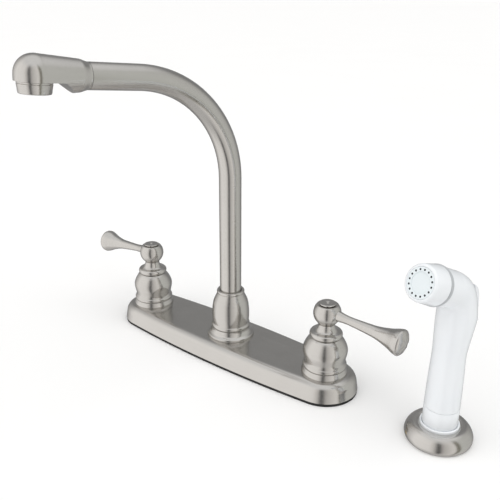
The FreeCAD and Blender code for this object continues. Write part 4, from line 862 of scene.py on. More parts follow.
@dataclass
class Handle:
    """One handle with its base ring and bonnet."""

    side: Side
    bead: Bead = Bead()
    wall: float = 3.7
    ring_flare: float = 1.4
    bonnet_top_radius: float = 12.3
    bonnet_belly: float = 0.5
    bonnet_waist: float = 0.9
    bonnet_lip: float = 3.0
    spigot_radius: float = 7.6
    spigot_length: float = 2.6
    skirt_height: float = 4.4
    neck_radius: float = 6.8
    neck_up: float = 11.2
    ball_radius: float = 11.3
    ball_cut: float = 7.2
    socket_radius: float = 4.1
    socket_depth: float = 12.0
    screw_radius: float = 2.35
    screw_seat_drop: float = 5.0
    well_radius: float = 4.6
    cap_radius: float = 6.9
    cap_thickness: float = 1.4
    cap_edge: float = 0.3
    dot_radius: float = 0.9
    lever_up: float = 0.6
    lever_droop: float = 4.2
    root_radius: float = 4.3
    waist_radius: float = 3.45
    end_radius: float = 10.6
    reach: float = 64.8
    rim_thickness: float = 0.4
    dome: float = 4.6
    stub_radius: float = 2.4
    stub_length: float = 3.8
    petals: int = 8
    petal_depth: float = 0.26
    petal_reach: float = 0.86

    @property
    def place(self) -> Matrix:
        """The handle's axis, with its lever outwards."""
        return moved_to(self.side.value * PITCH, 0.0, 0.0) @ turned_by(self.side.turn)

    @property
    def body(self) -> str:
        """The body that turns with this handle."""
        return f"{self.side.word}_handle"

    def name(self, piece: str) -> str:
        """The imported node's name of one of this handle's pieces."""
        return f"{piece}_{self.side.word}"

    def seat(self) -> float:
        """How far along the lever its root meets the flat spot in the ball."""
        return math.sqrt(self.ball_radius**2 - self.root_radius**2) - SEAM

    def lever_place(self, ball_z: float) -> Matrix:
        """Lays a piece built along +Z from the handle's axis along the lever."""
        return moved_to(0.0, 0.0, ball_z + self.lever_up) @ turned_by(90.0 + self.lever_droop, "Y")

    def ring(self) -> None:
        """The flared ring between the cover and the bonnet."""
        node = self.name("bonnet_ring")
        box = Packed.of(node)
        foot, top, radius, flare = box.low.z, box.high.z, box.radius, self.ring_flare
        bore = radius - flare - self.wall + PLAY - FIT
        outline = Outline(bore, foot).line((radius, foot), (radius, foot + 0.28 * box.height))
        outline.curve((radius - 0.6 * flare, foot + 0.7 * box.height), (radius - flare, top))
        outline.line((bore, top)).closed()
        turned(f"base_ring_{self.side.word}", outline, self.place, NICKEL_ROUND, "faucet_base", node)

    def bonnet(self) -> None:
        """The vase-shaped bell over the valve."""
        node = self.name("bonnet")
        box = Packed.of(node)
        foot, top, height = box.low.z, box.high.z, box.height
        radius = box.radius - self.bead.bulge
        bore = radius - self.wall
        mouth = self.spigot_radius + PLAY
        taper = radius - self.bonnet_top_radius
        belly = self.bonnet_belly
        outline = self.bead.draw(Outline(bore, foot).line((radius, foot)))
        outline.curve(
            (radius - self.bonnet_waist, foot + 0.23 * height),
            (radius + belly, foot + 0.50 * height),
            (radius + belly / 4, foot + 0.66 * height),
            (radius - 0.34 * taper, foot + 0.83 * height),
            (radius - 0.73 * taper, foot + 0.95 * height),
            (self.bonnet_top_radius, top),
        )
        lip = top - self.bonnet_lip
        outline.line((mouth, top), (mouth, lip), (bore, lip - 0.8 * (bore - mouth))).closed()
        turned(f"bell_{self.side.word}", outline, self.place, NICKEL_ROUND, "faucet_base", node)

    def hub(self) -> float:
        """The skirt, neck and ball, with the flat spot for the lever cut into the ball.

        Returns:
            The height of the ball's centre.
        """
        node = self.name("handle_hub")
        box = Packed.of(node)
        skirt = box.radius
        foot = box.low.z + self.spigot_length
        top = box.high.z
        ball_z = top - self.ball_cut
        neck_z = foot + self.neck_up
        flare = skirt - self.neck_radius
        join_z = neck_z + 0.17 * (ball_z - neck_z)
        join = math.sqrt(self.ball_radius**2 - (ball_z - join_z) ** 2)
        rim = math.sqrt(self.ball_radius**2 - self.ball_cut**2)
        screw_seat = top - self.screw_seat_drop
        shoulder = skirt - self.skirt_height / 4
        outline = Outline(self.socket_radius, box.low.z)
        outline.line((self.spigot_radius, box.low.z), (self.spigot_radius, foot), (shoulder, foot))
        outline.arc((skirt, foot + 0.45 * self.skirt_height), (shoulder, foot + self.skirt_height))
        outline.curve(
            (skirt - 0.60 * flare, foot + 0.47 * self.neck_up),
            (self.neck_radius + 0.14 * flare, foot + 0.65 * self.neck_up),
            (self.neck_radius + 0.03 * flare, foot + 0.84 * self.neck_up),
            (self.neck_radius, neck_z),
            (join, join_z),
        )
        outline.arc((self.ball_radius, ball_z), (rim, top))
        outline.line((self.well_radius, top), (self.well_radius, screw_seat), (self.screw_radius, screw_seat))
        socket_top = foot + self.socket_depth
        outline.line((self.screw_radius, socket_top), (self.socket_radius, socket_top)).closed()
        piece = Bench.lathe(f"hub_{self.side.word}", outline)
        cut_end = self.ball_radius + self.root_radius
        spot = rod("cutter", self.root_radius + FIT, self.seat(), cut_end, self.lever_place(ball_z))
        piece = Bench.soften(Bench.carve(piece, spot))
        finished(Bench.put(piece, self.place), NICKEL_ROUND, self.body, node)
        return ball_z

    def lever(self, ball_z: float) -> None:
        """The slim lever with its trumpet end, its domed face pressed with a ring of petals.

        Args:
            ball_z: the height of the ball's centre.
        """
        seat, rim = self.seat(), self.reach
        run = rim - seat
        waist, end = self.waist_radius, self.end_radius
        flare = end - waist
        stub, stub_foot = self.stub_radius, seat - self.stub_length
        outline = Outline(0.0, stub_foot).line((stub, stub_foot), (stub, seat), (self.root_radius, seat))
        outline.curve(
            (0.7 * self.root_radius + 0.3 * waist, seat + 0.04 * run),
            (waist, seat + 0.20 * run),
            (waist + 0.13 * flare, seat + 0.52 * run),
            (waist + 0.26 * flare, seat + 0.66 * run),
            (waist + 0.56 * flare, seat + 0.82 * run),
            (waist + 0.87 * flare, seat + 0.93 * run),
            (end, rim - self.rim_thickness),
        )
        dome = self.dome
        outline.curve((0.95 * end, rim + 0.28 * dome), (0.63 * end, rim + 0.76 * dome), (0.0, rim + dome))
        piece = Bench.lathe(f"lever_arm_{self.side.word}", outline)
        self.press_petals(piece)
        Bench.shade(piece)
        piece = Bench.put(piece, self.place @ self.lever_place(ball_z))
        finished(piece, NICKEL_LEVER, self.body, self.name("lever"))

    def press_petals(self, piece: Piece) -> None:
        """Presses shallow petals into the lever's face with a weighted displacement.

        Args:
            piece: the lever, still along +Z.
        """
        group = piece.vertex_groups.new(name="petals")
        for vertex in piece.data.vertices:
            x, y, z = vertex.co / MM
            share = math.hypot(x, y) / self.end_radius
            if z > self.reach and 0.0 < share < self.petal_reach:
                ridge = 0.5 - 0.5 * math.cos(self.petals * math.atan2(y, x))
                fade = math.sin(math.pi * share / self.petal_reach) ** 0.7
                group.add([vertex.index], ridge * fade, "REPLACE")
        strength = -self.petal_depth * MM
        Bench.modify(piece, "DISPLACE", strength=strength, mid_level=0.0, vertex_group=group.name)

    def cap(self) -> None:
        """The button over the screw: a plug and a disc, with a groove round the dot at its centre."""
        node = self.name("handle_cap")
        box = Packed.of(node)
        top = box.high.z
        disc_z = top - self.cap_thickness
        edge, radius, plug = self.cap_edge, self.cap_radius, self.well_radius - FIT
        outline = Outline(0.0, box.low.z).line((plug, box.low.z), (plug, disc_z), (radius - edge, disc_z))
        outline.arc((radius, disc_z + 0.4 * self.cap_thickness), (radius - 2 * edge, top - edge))
        outline.curve((0.62 * radius, top - 0.5 * edge), (2.2 * self.dot_radius, top - edge))
        outline.arc((1.5 * self.dot_radius, top - 1.6 * edge), (self.dot_radius, top - 0.3 * edge))
        outline.line((0.6 * self.dot_radius, top), (0.0, top))
        turned(f"button_{self.side.word}", outline, self.place, NICKEL_ROUND, self.body, node, EDGE / 2)

    def build(self) -> None:
        """Builds the five pieces of the handle that show."""
        self.ring()
        self.bonnet()
        self.lever(self.hub())
        self.cap()


@dataclass
class Spout:
    """The collar, the bent tube, the head and the aerator."""

    turn: float = -13.3
    bead: Bead = Bead()
    wall: float = 3.7
    ring_flare: float = 4.0
    ring_bulge: float = 0.2
    post_radius: float = 13.2
    collar_top_radius: float = 12.4
    top_bead: float = 2.7
    top_bead_depth: float = 0.6
    tube_radius: float = 9.5
    rise: float = 5.2
    joint_reach: float = 119.66
    joint_height: float = 254.145
    head_length: float = 36.8
    head_flat_drop: float = 4.3
    thread_radius: float = 11.6
    thread_length: float = 3.4
    aerator_radius: float = 11.7
    aerator_height: float = 8.0
    aerator_wall: float = 1.5
    tip_radius: float = 10.9
    lip_width: float = 0.9
    lip_height: float = 1.2
    line_height: float = 0.5
    line_drop: float = 1.15
    edge_radius: float = 0.8

    def collar_ring(self) -> None:
        """The flared ring under the collar."""
        box = Packed.of("spout_collar_ring")
        foot, top, height = box.low.z, box.high.z, box.height
        rim = box.radius - self.ring_bulge
        flare = self.ring_flare
        bore = self.post_radius + PLAY
        rim_top = foot + 0.28 * height
        outline = Outline(bore, foot).line((rim, foot))
        outline.arc((box.radius, (foot + rim_top) / 2), (rim, rim_top))
        waist = (rim - 0.55 * flare, foot + 0.45 * height)
        outline.curve(waist, (rim - 0.94 * flare, foot + 0.78 * height), (rim - flare, top))
        outline.line((bore, top)).closed()
        turned("collar_base", outline, Matrix(), NICKEL_ROUND, "faucet_base", "spout_collar_ring")

    def collar(self) -> None:
        """The bell-shaped nut that holds the spout down, beaded at its foot and its top."""
        box = Packed.of("spout_collar")
        foot, top, height = box.low.z, box.high.z, box.height
        radius = box.radius - self.bead.bulge
        bore = radius - self.wall
        roof = Packed.of("swivel_bushing").high.z + FIT
        mouth = self.tube_radius + PLAY
        taper = radius - self.collar_top_radius
        neck = self.collar_top_radius - self.top_bead_depth
        outline = self.bead.draw(Outline(bore, foot).line((radius, foot)))
        outline.curve(
            (radius - 0.06 * taper, foot + 0.24 * height),
            (radius - 0.04 * taper, foot + 0.36 * height),
            (radius - 0.12 * taper, foot + 0.52 * height),
            (radius - 0.35 * taper, foot + 0.70 * height),
            (radius - 0.93 * taper, foot + 0.87 * height),
            (neck, top - self.top_bead),
        )
        outline.arc((self.collar_top_radius, top - self.top_bead / 2), (neck, top))
        outline.line((mouth, top), (mouth, roof), (bore, roof)).closed()
        turned("collar_bell", outline, Matrix(), NICKEL_ROUND, "faucet_base", "spout_collar")

    def aerator(self) -> None:
        """The aerator's cup with its ring line, tapered sides and rounded lip."""
        under = -self.head_flat_drop
        foot, top, thread_top = under - self.aerator_height, under - SEAM, under + self.thread_length
        line_z = top - self.line_drop
        half, edge, radius, tip = self.line_height / 2, self.edge_radius, self.aerator_radius, self.tip_radius
        bore = self.thread_radius - self.aerator_wall
        outline = Outline(bore, thread_top).line((self.thread_radius, thread_top), (self.thread_radius, top))
        outline.line((radius, top), (radius, line_z + half))
        outline.arc((radius - 1.4 * half, line_z), (radius, line_z - half)).line((tip, foot + edge))
        outline.arc((tip - 0.3 * edge, foot + 0.3 * edge), (tip - edge, foot))
        lip = bore - self.lip_width
        outline.line((lip, foot), (lip, foot + self.lip_height), (bore, foot + self.lip_height)).closed()
        joint = moved_to(0.0, -self.joint_reach, self.joint_height) @ turned_by(-self.rise, "X")
        place = turned_by(self.turn) @ joint @ moved_to(0.0, -self.head_length, 0.0)
        turned("aerator_cup", outline, place, NICKEL_ROUND, "spout", "aerator_housing", EDGE / 2)

    def build(self) -> None:
        """Builds the turned pieces and dresses the tube and the head."""
        self.collar_ring()
        self.collar()
        self.aerator()
        dress_nodes(NICKEL_SATIN, "spout_tube", "spout_head")
        dress_nodes(ACETAL, "aerator_screen", "swivel_bushing")


@dataclass
class SprayStand:
    """The spray's flange and holder."""

    tuck: float = 1.4
    crown: float = 0.6
    bulge_up: float = 5.0
    inner_radius: float = 14.7
    lip_radius: float = 14.6
    lip_height: float = 2.0
    mouth_radius: float = 13.35
    bore_radius: float = 10.4
    shank_radius: float = 12.6
    cone_length: float = 7.0
    thread_start: float = 17.0
    thread_pitch: float = 1.8
    thread_depth: float = 0.7

    def flange(self) -> float:
        """The domed metal ring.

        Returns:
            The height of its inner edge.
        """
        box = Packed.of("spray_flange")
        radius, inner = box.radius, self.inner_radius
        top = box.high.z - self.crown
        width = radius - inner
        outline = Outline(inner, 0.0).line((radius - self.tuck, 0.0))
        outline.curve(
            (radius - self.tuck / 4, 0.3 * self.bulge_up),
            (radius, self.bulge_up),
            (radius - 0.18 * width, 0.76 * top),
            (radius - 0.49 * width, top + self.crown / 3),
            (radius - 0.79 * width, top + self.crown),
            (self.lip_radius + FIT, top),
        )
        outline.line((inner, top)).closed()
        turned("flange_dome", outline, box.axis, NICKEL_ROUND, "faucet_base", "spray_flange")
        return top

    def holder(self, flange_top: float) -> None:
        """The white insert: a lip, a coned mouth for the spray and a threaded shank.

        Args:
            flange_top: the height of the flange's inner edge.
        """
        box = Packed.of("spray_holder")
        sleeve = self.inner_radius - FIT
        edge = 0.4 * self.lip_height
        top = flange_top + self.lip_height
        lip = self.lip_radius
        shank, depth, foot = self.shank_radius, self.thread_depth, box.low.z
        outline = Outline(self.bore_radius, foot).line((shank - depth, foot), (shank, foot + depth))
        outline.ridges(-self.thread_start, self.thread_pitch, depth)
        outline.line((shank, 0.0), (sleeve, 0.0), (sleeve, flange_top), (lip, flange_top))
        outline.line((lip, top - edge)).arc((lip - 0.3 * edge, top - 0.3 * edge), (lip - edge, top))
        outline.line((self.mouth_radius, top), (self.bore_radius, top - self.cone_length)).closed()
        turned("holder_insert", outline, box.axis, WHITE, "faucet_base", "spray_holder")

    def build(self) -> None:
        """Builds the flange and the holder."""
        self.holder(self.flange())


@dataclass
class SideSpray:
    """The white hand spray: ferrule, one smooth grip and head, ring, cap, nozzles and trigger."""

    turn: float = -15.9
    pitch: float = 20.5
    foot_radius: float = 13.0
    neck_radius: float = 9.6
    neck_length: float = 9.0
    head_up: float = 93.3
    barrel_root: float = 12.9
    barrel_root_drop: float = 0.9
    barrel_root_along: float = 5.0
    barrel_radius: float = 13.5
    barrel_length: float = 26.4
    ring_thickness: float = 2.8
    ring_proud: float = 0.25
    cap_radius: float = 14.1
    cap_length: float = 14.0
    cap_wall: float = 2.0
    cap_edge: float = 2.0
    face_radius: float = 12.9
    disc_radius: float = 10.6
    disc_thickness: float = 2.2
    disc_depth: float = 0.2
    disc_seat: float = 1.0
    centre_radius: float = 7.3
    nozzle_ring: float = 8.84
    nozzle_radius: float = 0.75
    nozzles: int = 16
    # Sizes of the near-black cups that paint shade into the nozzle holes.
    liner_gap: float = 0.02
    liner_inset: float = 0.15
    liner_drop: float = 0.12
    liner_depth: float = 0.5
    liner_steps: int = 20
    hose_bore: float = 5.06
    cone_tip_radius: float = 10.05
    band_height: float = 14.0
    ferrule_floor: float = 5.0
    grip_front: float = 12.2
    grip_back: float = 16.14
    fillet: float = 5.0
    under_radius: float = 13.7
    elbow_steps: int = 26
    barrel_steps: int = 8
    waterway_radius: float = 4.5
    valve_drop: float = 12.0
    well_radius: float = 5.6
    well_back: float = 7.6
    well_front: float = 8.4
    guide_radius: float = 1.96
    link_radius: float = 2.4
    pivot_back: float = 7.8
    pin_radius: float = 1.26
    pin_half: float = 7.35
    knuckle_radius: float = 3.05
    knuckle_half: float = 4.55
    bay_half: float = 7.95
    bay_top: float = 7.45
    bay_top_up: float = 1.65
    bay_knee: float = 9.15
    bay_knee_drop: float = 2.7
    bay_floor: float = 12.478
    bay_drop: float = 26.7
    trigger_back: float = 18.5
    overcut: float = 1.0
    # Ovals of the grip: height over the ferrule, half width, front and back.
    grip: tuple[tuple[float, float, float, float], ...] = (
        (SEAM, 13.0, 13.0, 13.0),
        (21.15, 12.6, 12.6, 12.6),
        (42.0, 11.9, 11.9, 11.9),
        (51.67, 12.34, 11.9, 13.12),
        (61.33, 13.03, 12.15, 15.2),
        (71.0, 13.59, 12.2, 17.1),
    )
    # Ovals of the elbow: tilt and how far they reach from the fillet's centre, then tilt and half width.
    elbow_reaches: tuple[Point2, ...] = (
        (0.0, 33.34), (12.0, 32.35), (26.0, 32.1), (40.0, 31.9), (54.0, 31.35), (69.5, 31.15)
    )
    elbow_widths: tuple[Point2, ...] = ((0.0, 13.3), (34.75, 12.95), (69.5, 13.08))

    def __post_init__(self) -> None:
        """Reads the ferrule's top, and from it the head's height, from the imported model."""
        self.foot = Packed.of("spray_ferrule").high.z
        self.head_z = self.foot + self.head_up
        self.place = moved_to(2 * PITCH, 0.0, 0.0) @ turned_by(self.turn)

    @property
    def head(self) -> Matrix:
        """Lays a piece built along +Z along the head's axis."""
        return aimed(self.pitch, 0.0, self.head_z)

    def grip_sections(self) -> list[Section]:
        """The upright part of the body, from the ferrule to the elbow."""
        elbow_up = self.fillet_centre().y - self.foot
        last = (elbow_up, self.elbow_widths[0][1], self.grip_front, self.grip_back)
        stops = [Vector(station) for station in (*self.grip, last)]
        sections = []
        for up, width, front, back in smooth_path(stops, 2 * CURVE_STEP):
            sections.append(Section((back - front) / 2, self.foot + up, 0.0, width, (back + front) / 2))
        return sections

    def fillet_centre(self) -> Vector:
        """The (y, z) point in front of the grip that the elbow turns about."""
        rise = math.radians(self.pitch)
        front = -self.grip_front - self.fillet
        below = self.under_radius + self.fillet
        under = self.head_z - below / math.cos(rise) - front * math.tan(rise)
        return Vector((front, under))

    def elbow_sections(self) -> list[Section]:
        """The elbow: ovals that fan out round a small fillet, their far edge on the head's round back."""
        centre = self.fillet_centre()
        end = 90.0 - self.pitch
        sections = []
        for n in range(1, self.elbow_steps + 1):
            tilt = end * n / self.elbow_steps
            reach, width = self.blend(self.elbow_reaches, tilt), self.blend(self.elbow_widths, tilt)
            middle = (reach + self.fillet) / 2
            angle = math.radians(tilt)
            y, z = centre + Vector((math.cos(angle), math.sin(angle))) * middle
            sections.append(Section(y, z, tilt, width, (reach - self.fillet) / 2))
        return sections

    @staticmethod
    def blend(stops: tuple[Point2, ...], at: float) -> float:
        """The height over a place of the smooth curve through some (place, height) stops."""
        path = smooth_path([Vector(stop) for stop in stops], 0.5)
        for here, there in pairwise(path):
            if there.x >= at:
                share = (at - here.x) / (there.x - here.x)
                return here.y + (there.y - here.y) * share
        return path[-1].y

    def barrel_sections(self, last: Section) -> list[Section]:
        """The barrel, widening a little from the elbow's last oval to the grey ring."""
        rise = math.radians(self.pitch)
        aim = Vector((-math.cos(rise), math.sin(rise)))
        up = Vector((math.sin(rise), math.cos(rise)))
        start = Vector((last.y, last.z - self.head_z)).dot(aim)
        sections = []
        for n in range(1, self.barrel_steps + 1):
            along = start + (self.barrel_length - start) * n / self.barrel_steps
            share = (along - self.barrel_root_along) / (self.barrel_length - self.barrel_root_along)
            radius = self.barrel_root + (self.barrel_radius - self.barrel_root) * share
            y, z = aim * along - up * self.barrel_root_drop * (1.0 - share)
            sections.append(Section(y, self.head_z + z, last.tilt, radius, radius))
        return sections

    def cutters(self) -> list[Piece]:
        """What is cut from the body: waterways, valve well, trigger bay and the pin's hole."""
        head_z = self.head_z
        valve_z = head_z - self.valve_drop
        valve = aimed(0.0, 0.0, valve_z)
        drop, back = head_z - valve_z, self.well_back - self.link_radius
        link_lean = math.degrees(math.atan2(back, drop))
        link = moved_to(0.0, 0.0, head_z) @ turned_by(180.0 + link_lean, "X")
        pivot = moved_to(0.0, self.pivot_back, head_z) @ turned_by(90.0, "Y")
        low, high = head_z - self.bay_drop, head_z + self.barrel_radius
        out = self.trigger_back + self.barrel_radius
        bay = (
            (self.bay_top, high),
            (self.bay_top, head_z + self.bay_top_up),
            (self.bay_knee, head_z - self.bay_knee_drop),
            (self.bay_floor, low),
            (out, low),
            (out, high),
        )
        radius = self.knuckle_radius
        under, over = head_z - radius, head_z + radius
        throat = ((self.pivot_back, under), (out, under), (out, over), (self.pivot_back, over))
        neck_foot = self.foot - self.neck_length
        return [
            Bench.slab("cut_bay", [Vector(p) for p in bay], self.bay_half),
            Bench.slab("cut_throat", [Vector(p) for p in throat], self.knuckle_half),
            rod("cut_knuckle", radius, -self.knuckle_half, self.knuckle_half, pivot),
            rod("cut_pin", self.pin_radius, -self.pin_half, self.pin_half, pivot),
            rod("cut_up", self.waterway_radius, neck_foot - self.overcut, valve_z, Matrix()),
            rod("cut_well", self.well_radius, -self.well_back, self.well_front, valve),
            rod("cut_guide", self.guide_radius, -self.trigger_back, 0.0, valve),
            rod("cut_link", self.link_radius, 0.0, math.hypot(drop, back), link),
            rod("cut_out", self.waterway_radius, 0.0, self.barrel_length + self.overcut, self.head),
        ]

    def shell(self) -> None:
        """The body: a neck, the grip, the elbow and the barrel as one smooth sweep."""
        neck_foot = self.foot - self.neck_length
        low = Section(0.0, neck_foot, 0.0, self.neck_radius, self.neck_radius)
        high = Section(0.0, self.foot + SEAM, 0.0, self.neck_radius, self.neck_radius)
        elbow = self.elbow_sections()
        sections = [low, high, *self.grip_sections(), *elbow, *self.barrel_sections(elbow[-1])]
        piece = Bench.carve(Bench.sweep("spray_shell", sections), *self.cutters())
        Bench.soften(piece, 2 * EDGE)
        finished(Bench.put(piece, self.place), WHITE, "side_spray", "spray_body")

    def ferrule(self) -> None:
        """The coned collar at the grip's foot."""
        box = Packed.of("spray_ferrule")
        bottom, top = box.low.z, box.high.z
        radius, bore = self.foot_radius, self.hose_bore
        socket, floor = self.neck_radius + FIT, bottom + self.ferrule_floor
        outline = Outline(bore, bottom).line((self.cone_tip_radius, bottom), (radius, top - self.band_height))
        outline.line((radius, top), (socket, top), (socket, floor), (bore, floor)).closed()
        turned("ferrule_cone", outline, self.place, WHITE, "side_spray", "spray_ferrule", 2 * EDGE)

    def ring(self) -> None:
        """The grey ring behind the cap."""
        foot, radius = self.barrel_length, self.cap_radius + self.ring_proud
        top = foot + self.ring_thickness
        outline = Outline(self.centre_radius, foot).line((radius - SEAM, foot))
        outline.arc((radius, (foot + top) / 2), (radius - SEAM, top))
        outline.line((self.centre_radius, top)).closed()
        turned("ring_band", outline, self.place @ self.head, GREY, "side_spray", "spray_ring")

    def cap(self) -> float:
        """The slightly coned white cap with its rounded rim.

        Returns:
            How far along the head its face lies.
        """
        foot = self.barrel_length + self.ring_thickness
        face = foot + self.cap_length
        edge, rim = self.cap_edge, self.face_radius
        back = face - self.disc_depth
        seat = back - self.disc_thickness
        mouth = self.disc_radius + FIT
        step = self.disc_radius - self.disc_seat
        outline = Outline(self.cap_radius - self.cap_wall, foot).line((self.cap_radius - SEAM, foot))
        outline.line((self.cap_radius, foot + SEAM), (rim, face - edge))
        outline.arc((rim - 0.3 * edge, face - 0.3 * edge), (rim - edge, face))
        outline.line((mouth, back), (mouth, seat), (step, seat), (step, seat - self.cap_wall)).closed()
        turned("cap_shell", outline, self.place @ self.head, WHITE, "side_spray", "spray_cap")
        return back

    def nozzle_shade_cups(self, face: float) -> None:
        """Painted shade in the nozzle holes: small near-black cups, one modelled and the rest copied round.

        Args:
            face: how far along the head the disc's face lies.
        """
        outer, inner = self.nozzle_radius - self.liner_gap, self.nozzle_radius - self.liner_inset
        foot, top = face - self.disc_thickness, face - self.liner_drop
        well = top - self.liner_depth
        outline = Outline(0.0, foot).line((outer, foot), (outer, top), (inner, top))
        outline.line((0.8 * inner, well), (0.0, well))
        first = Bench.shade(Bench.lathe("liner_00", outline, steps=self.liner_steps))
        first = Bench.put(first, self.place @ self.head @ moved_to(self.nozzle_ring, 0.0, 0.0))
        about = self.place @ self.head
        for n in range(1, self.nozzles):
            around = about @ turned_by(360.0 * n / self.nozzles) @ about.inverted()
            finished(Bench.twin(first, f"liner_{n:02d}", around), PAINTED_HOLE_SHADE, "side_spray")
        finished(first, PAINTED_HOLE_SHADE, "side_spray")

    def build(self) -> None:
        """Builds the spray and dresses the disc and the trigger."""
        self.ferrule()
        self.shell()
        self.ring()
        self.nozzle_shade_cups(self.cap())
        dress_nodes(FACE_WHITE, "nozzle_disc")
        dress_nodes(WHITE, "trigger")


@dataclass
class Works:
    """What lies inside the faucet and under the sink."""

    def build(self) -> None:
        """Dresses every hidden piece in what it is made of."""
        for word in (side.word for side in Side):
            dress_nodes(BRASS, f"valve_body_{word}", f"cartridge_{word}", f"stem_{word}")
            dress_nodes(CERAMIC, f"moving_disc_{word}")
            dress_nodes(STEEL, f"handle_screw_{word}")
        dress_nodes(BRASS, "spout_post", "spout_sleeve", "hose_stub", "poppet")
        dress_nodes(COPPER, "cross_tubes")
        dress_nodes(CERAMIC, "fixed_discs")
        dress_nodes(RUBBER, "cartridge_seals", "spout_seals", "aerator_washer", "spray_washer", "poppet_seal")
        dress_nodes(STEEL, "diverter_spring", "poppet_spring", "trigger_pin")
        dress_nodes(STEEL, "mounting_washers", "holder_washer")
        dress_nodes(GREY, "mounting_nuts", "holder_nut")
        dress_nodes(ACETAL, "diverter_body", "diverter_cap", "diverter_spool", "valve_seat")


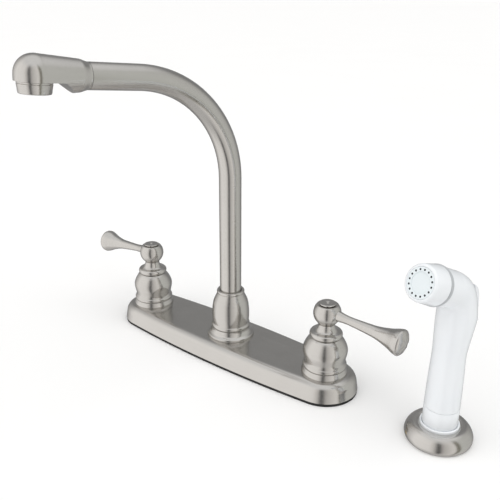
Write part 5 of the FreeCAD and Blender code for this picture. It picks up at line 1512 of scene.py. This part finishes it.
# ---------------------------------------------------------------- studio
@dataclass
class Studio:
    """The camera, the floor, the surroundings that the metal mirrors and the soft lights."""

    azimuth: float = 38.67
    elevation: float = 21.67
    roll: float = 0.45
    place: Triple = (342.40, -400.52, 307.54)
    lens: float = 46.62
    sensor: float = 36.0
    floor_size: float = 60000.0
    floor_drop: float = 0.1
    clip_end: float = 200.0
    ceiling: Triple = (0.86, 0.86, 0.86)
    ceiling_fade: Point2 = (0.62, 0.88)
    ground: Triple = (0.62, 0.61, 0.60)
    ground_fade: Point2 = (0.70, 0.92)
    # What the metal mirrors all round: degrees to the right of the camera, and a colour.
    panels: tuple[tuple[float, Triple], ...] = (
        (-180.0, (0.30, 0.30, 0.30)),
        (-152.0, (0.26, 0.26, 0.26)),
        (-128.0, (0.55, 0.54, 0.53)),
        (-95.0, (1.05, 1.03, 1.01)),
        (-40.0, (1.00, 0.98, 0.96)),
        (-25.0, (0.74, 0.72, 0.70)),
        (-13.0, (0.10, 0.10, 0.10)),
        (-8.0, (0.10, 0.10, 0.10)),
        (4.0, (0.62, 0.60, 0.58)),
        (42.0, (0.95, 0.93, 0.90)),
        (48.0, (0.22, 0.21, 0.17)),
        (56.0, (0.22, 0.21, 0.17)),
        (63.0, (0.68, 0.69, 0.66)),
        (105.0, (0.60, 0.60, 0.58)),
        (140.0, (0.26, 0.26, 0.26)),
        (180.0, (0.30, 0.30, 0.30)),
    )
    # Each light's name, degrees to the right of the camera, degrees up, watts on a square metre and spread.
    lights: tuple[tuple, ...] = (("key", 55.0, 58.0, 1.0, 70.0), ("fill", -70.0, 50.0, 0.5, 70.0))

    def axes(self) -> tuple[Vector, Vector, Vector]:
        """The camera's right, up and back directions."""
        azimuth, elevation, roll = (math.radians(v) for v in (self.azimuth, self.elevation, self.roll))
        level = math.cos(elevation)
        back = Vector((math.sin(azimuth) * level, -math.cos(azimuth) * level, math.sin(elevation)))
        right = Vector((math.cos(azimuth), math.sin(azimuth), 0.0))
        up = back.cross(right)
        turned_right = right * math.cos(roll) + up * math.sin(roll)
        return turned_right, up * math.cos(roll) - right * math.sin(roll), back

    def camera(self) -> None:
        """Adds the camera at the photograph's place."""
        right, up, back = self.axes()
        data = bpy.data.cameras.new("camera")
        data.lens, data.sensor_width, data.clip_end = self.lens, self.sensor, self.clip_end
        camera = bpy.data.objects.new("camera", data)
        turn = Matrix((right, up, back)).transposed()
        camera.matrix_world = moved_to(*self.place) @ turn.to_4x4()
        bpy.context.scene.collection.objects.link(camera)
        bpy.context.scene.camera = camera

    def floor(self) -> None:
        """Adds the pale floor, just under the gasket. The metal mirrors the surroundings instead of it."""
        Bench.deselect()
        size, drop = self.floor_size * MM, self.floor_drop * MM
        bpy.ops.mesh.primitive_plane_add(size=size, location=(0.0, 0.0, -drop))
        floor = bpy.context.object
        floor.name = "floor"
        Bench.settle(floor)
        floor.visible_glossy = False
        dress(floor, FloorPaint("pale_floor", ""))

    def surroundings(self) -> None:
        """Sets what the metal mirrors: soft panels round it, a pale ceiling and a pale ground."""
        world = bpy.data.worlds.new("studio")
        bpy.context.scene.world = world
        world.use_nodes = True
        graph = Graph(world.node_tree)
        direction = graph.add("ShaderNodeTexCoord", output="Generated")
        angle = math.radians(self.azimuth)
        sideways = self._along(graph, direction, (math.cos(angle), math.sin(angle), 0.0))
        towards = self._along(graph, direction, (math.sin(angle), -math.cos(angle), 0.0))
        height = self._along(graph, direction, (0.0, 0.0, 1.0))
        turn = sideways.atan2(towards) / math.tau + 0.5
        round_stops = [(degrees / 360 + 0.5, colour) for degrees, colour in self.panels]
        around = graph.add("ShaderNodeValToRGB", {"stops": round_stops}, {"Fac": turn})
        lit = around
        covers = ((self.ceiling, self.ceiling_fade, height), (self.ground, self.ground_fade, height * -1.0))
        for colour, fade, slant in covers:
            share = graph.add("ShaderNodeValToRGB", {"stops": self._fade(*fade)}, {"Fac": slant})
            inputs = {"Factor": share, "A": lit, "B": (*colour, 1.0)}
            lit = graph.add("ShaderNodeMix", {"data_type": "RGBA"}, inputs, output="Result")
        seen = graph.add("ShaderNodeBackground", None, {"Color": (1.0, 1.0, 1.0, 1.0), "Strength": 1.0})
        mirrored = graph.add("ShaderNodeBackground", None, {"Color": lit, "Strength": 1.0})
        by_camera = graph.add("ShaderNodeLightPath", output="Is Camera Ray")
        both = graph.add("ShaderNodeMixShader", None, {0: by_camera, 1: mirrored, 2: seen})
        graph.add("ShaderNodeOutputWorld", None, {"Surface": both})

    @staticmethod
    def _along(graph: Graph, direction: Wire, axis: Triple) -> Wire:
        """How far a direction points along an axis."""
        inputs = {0: direction, 1: axis}
        return graph.add("ShaderNodeVectorMath", {"operation": "DOT_PRODUCT"}, inputs, output="Value")

    @staticmethod
    def _fade(start: float, end: float) -> list[tuple[float, Triple]]:
        """How far a ceiling or a ground hides the panels, by the sine of the angle up or down."""
        black, white = (0.0, 0.0, 0.0), (1.0, 1.0, 1.0)
        return [(0.0, black), (start, black), (end, white), (1.0, white)]

    def _soft_sun(self, name: str, azimuth: float, elevation: float, strength: float, spread: float) -> None:
        """Adds one broad even light that the metal doesn't mirror.

        Args:
            name: the light's name.
            azimuth: degrees to the right of the camera.
            elevation: degrees up.
            strength: watts on a square metre.
            spread: degrees across.
        """
        turn, tilt = math.radians(self.azimuth + azimuth), math.radians(elevation)
        back = Vector((math.sin(turn) * math.cos(tilt), -math.cos(turn) * math.cos(tilt), math.sin(tilt)))
        data = bpy.data.lights.new(name, "SUN")
        data.energy, data.angle = strength, math.radians(spread)
        light = bpy.data.objects.new(name, data)
        light.matrix_world = back.to_track_quat("Z", "Y").to_matrix().to_4x4()
        light.visible_glossy = False
        bpy.context.scene.collection.objects.link(light)

    def build(self) -> None:
        """Adds the camera, floor, surroundings and lights."""
        bpy.context.scene.view_settings.view_transform = "Standard"
        self.camera()
        self.floor()
        self.surroundings()
        for light in self.lights:
            self._soft_sun(*light)


def main() -> None:
    """Builds every sub-assembly, then the studio round it."""
    logging.basicConfig(level=logging.INFO, format="%(name)s: %(message)s", stream=sys.stdout)
    parts = [DeckPlate(), Handle(Side.HOT), Handle(Side.COLD), Spout(), SprayStand(), SideSpray(), Works()]
    for part in parts:
        part.build()
    Studio().build()


if __name__ == "__main__":
    main()
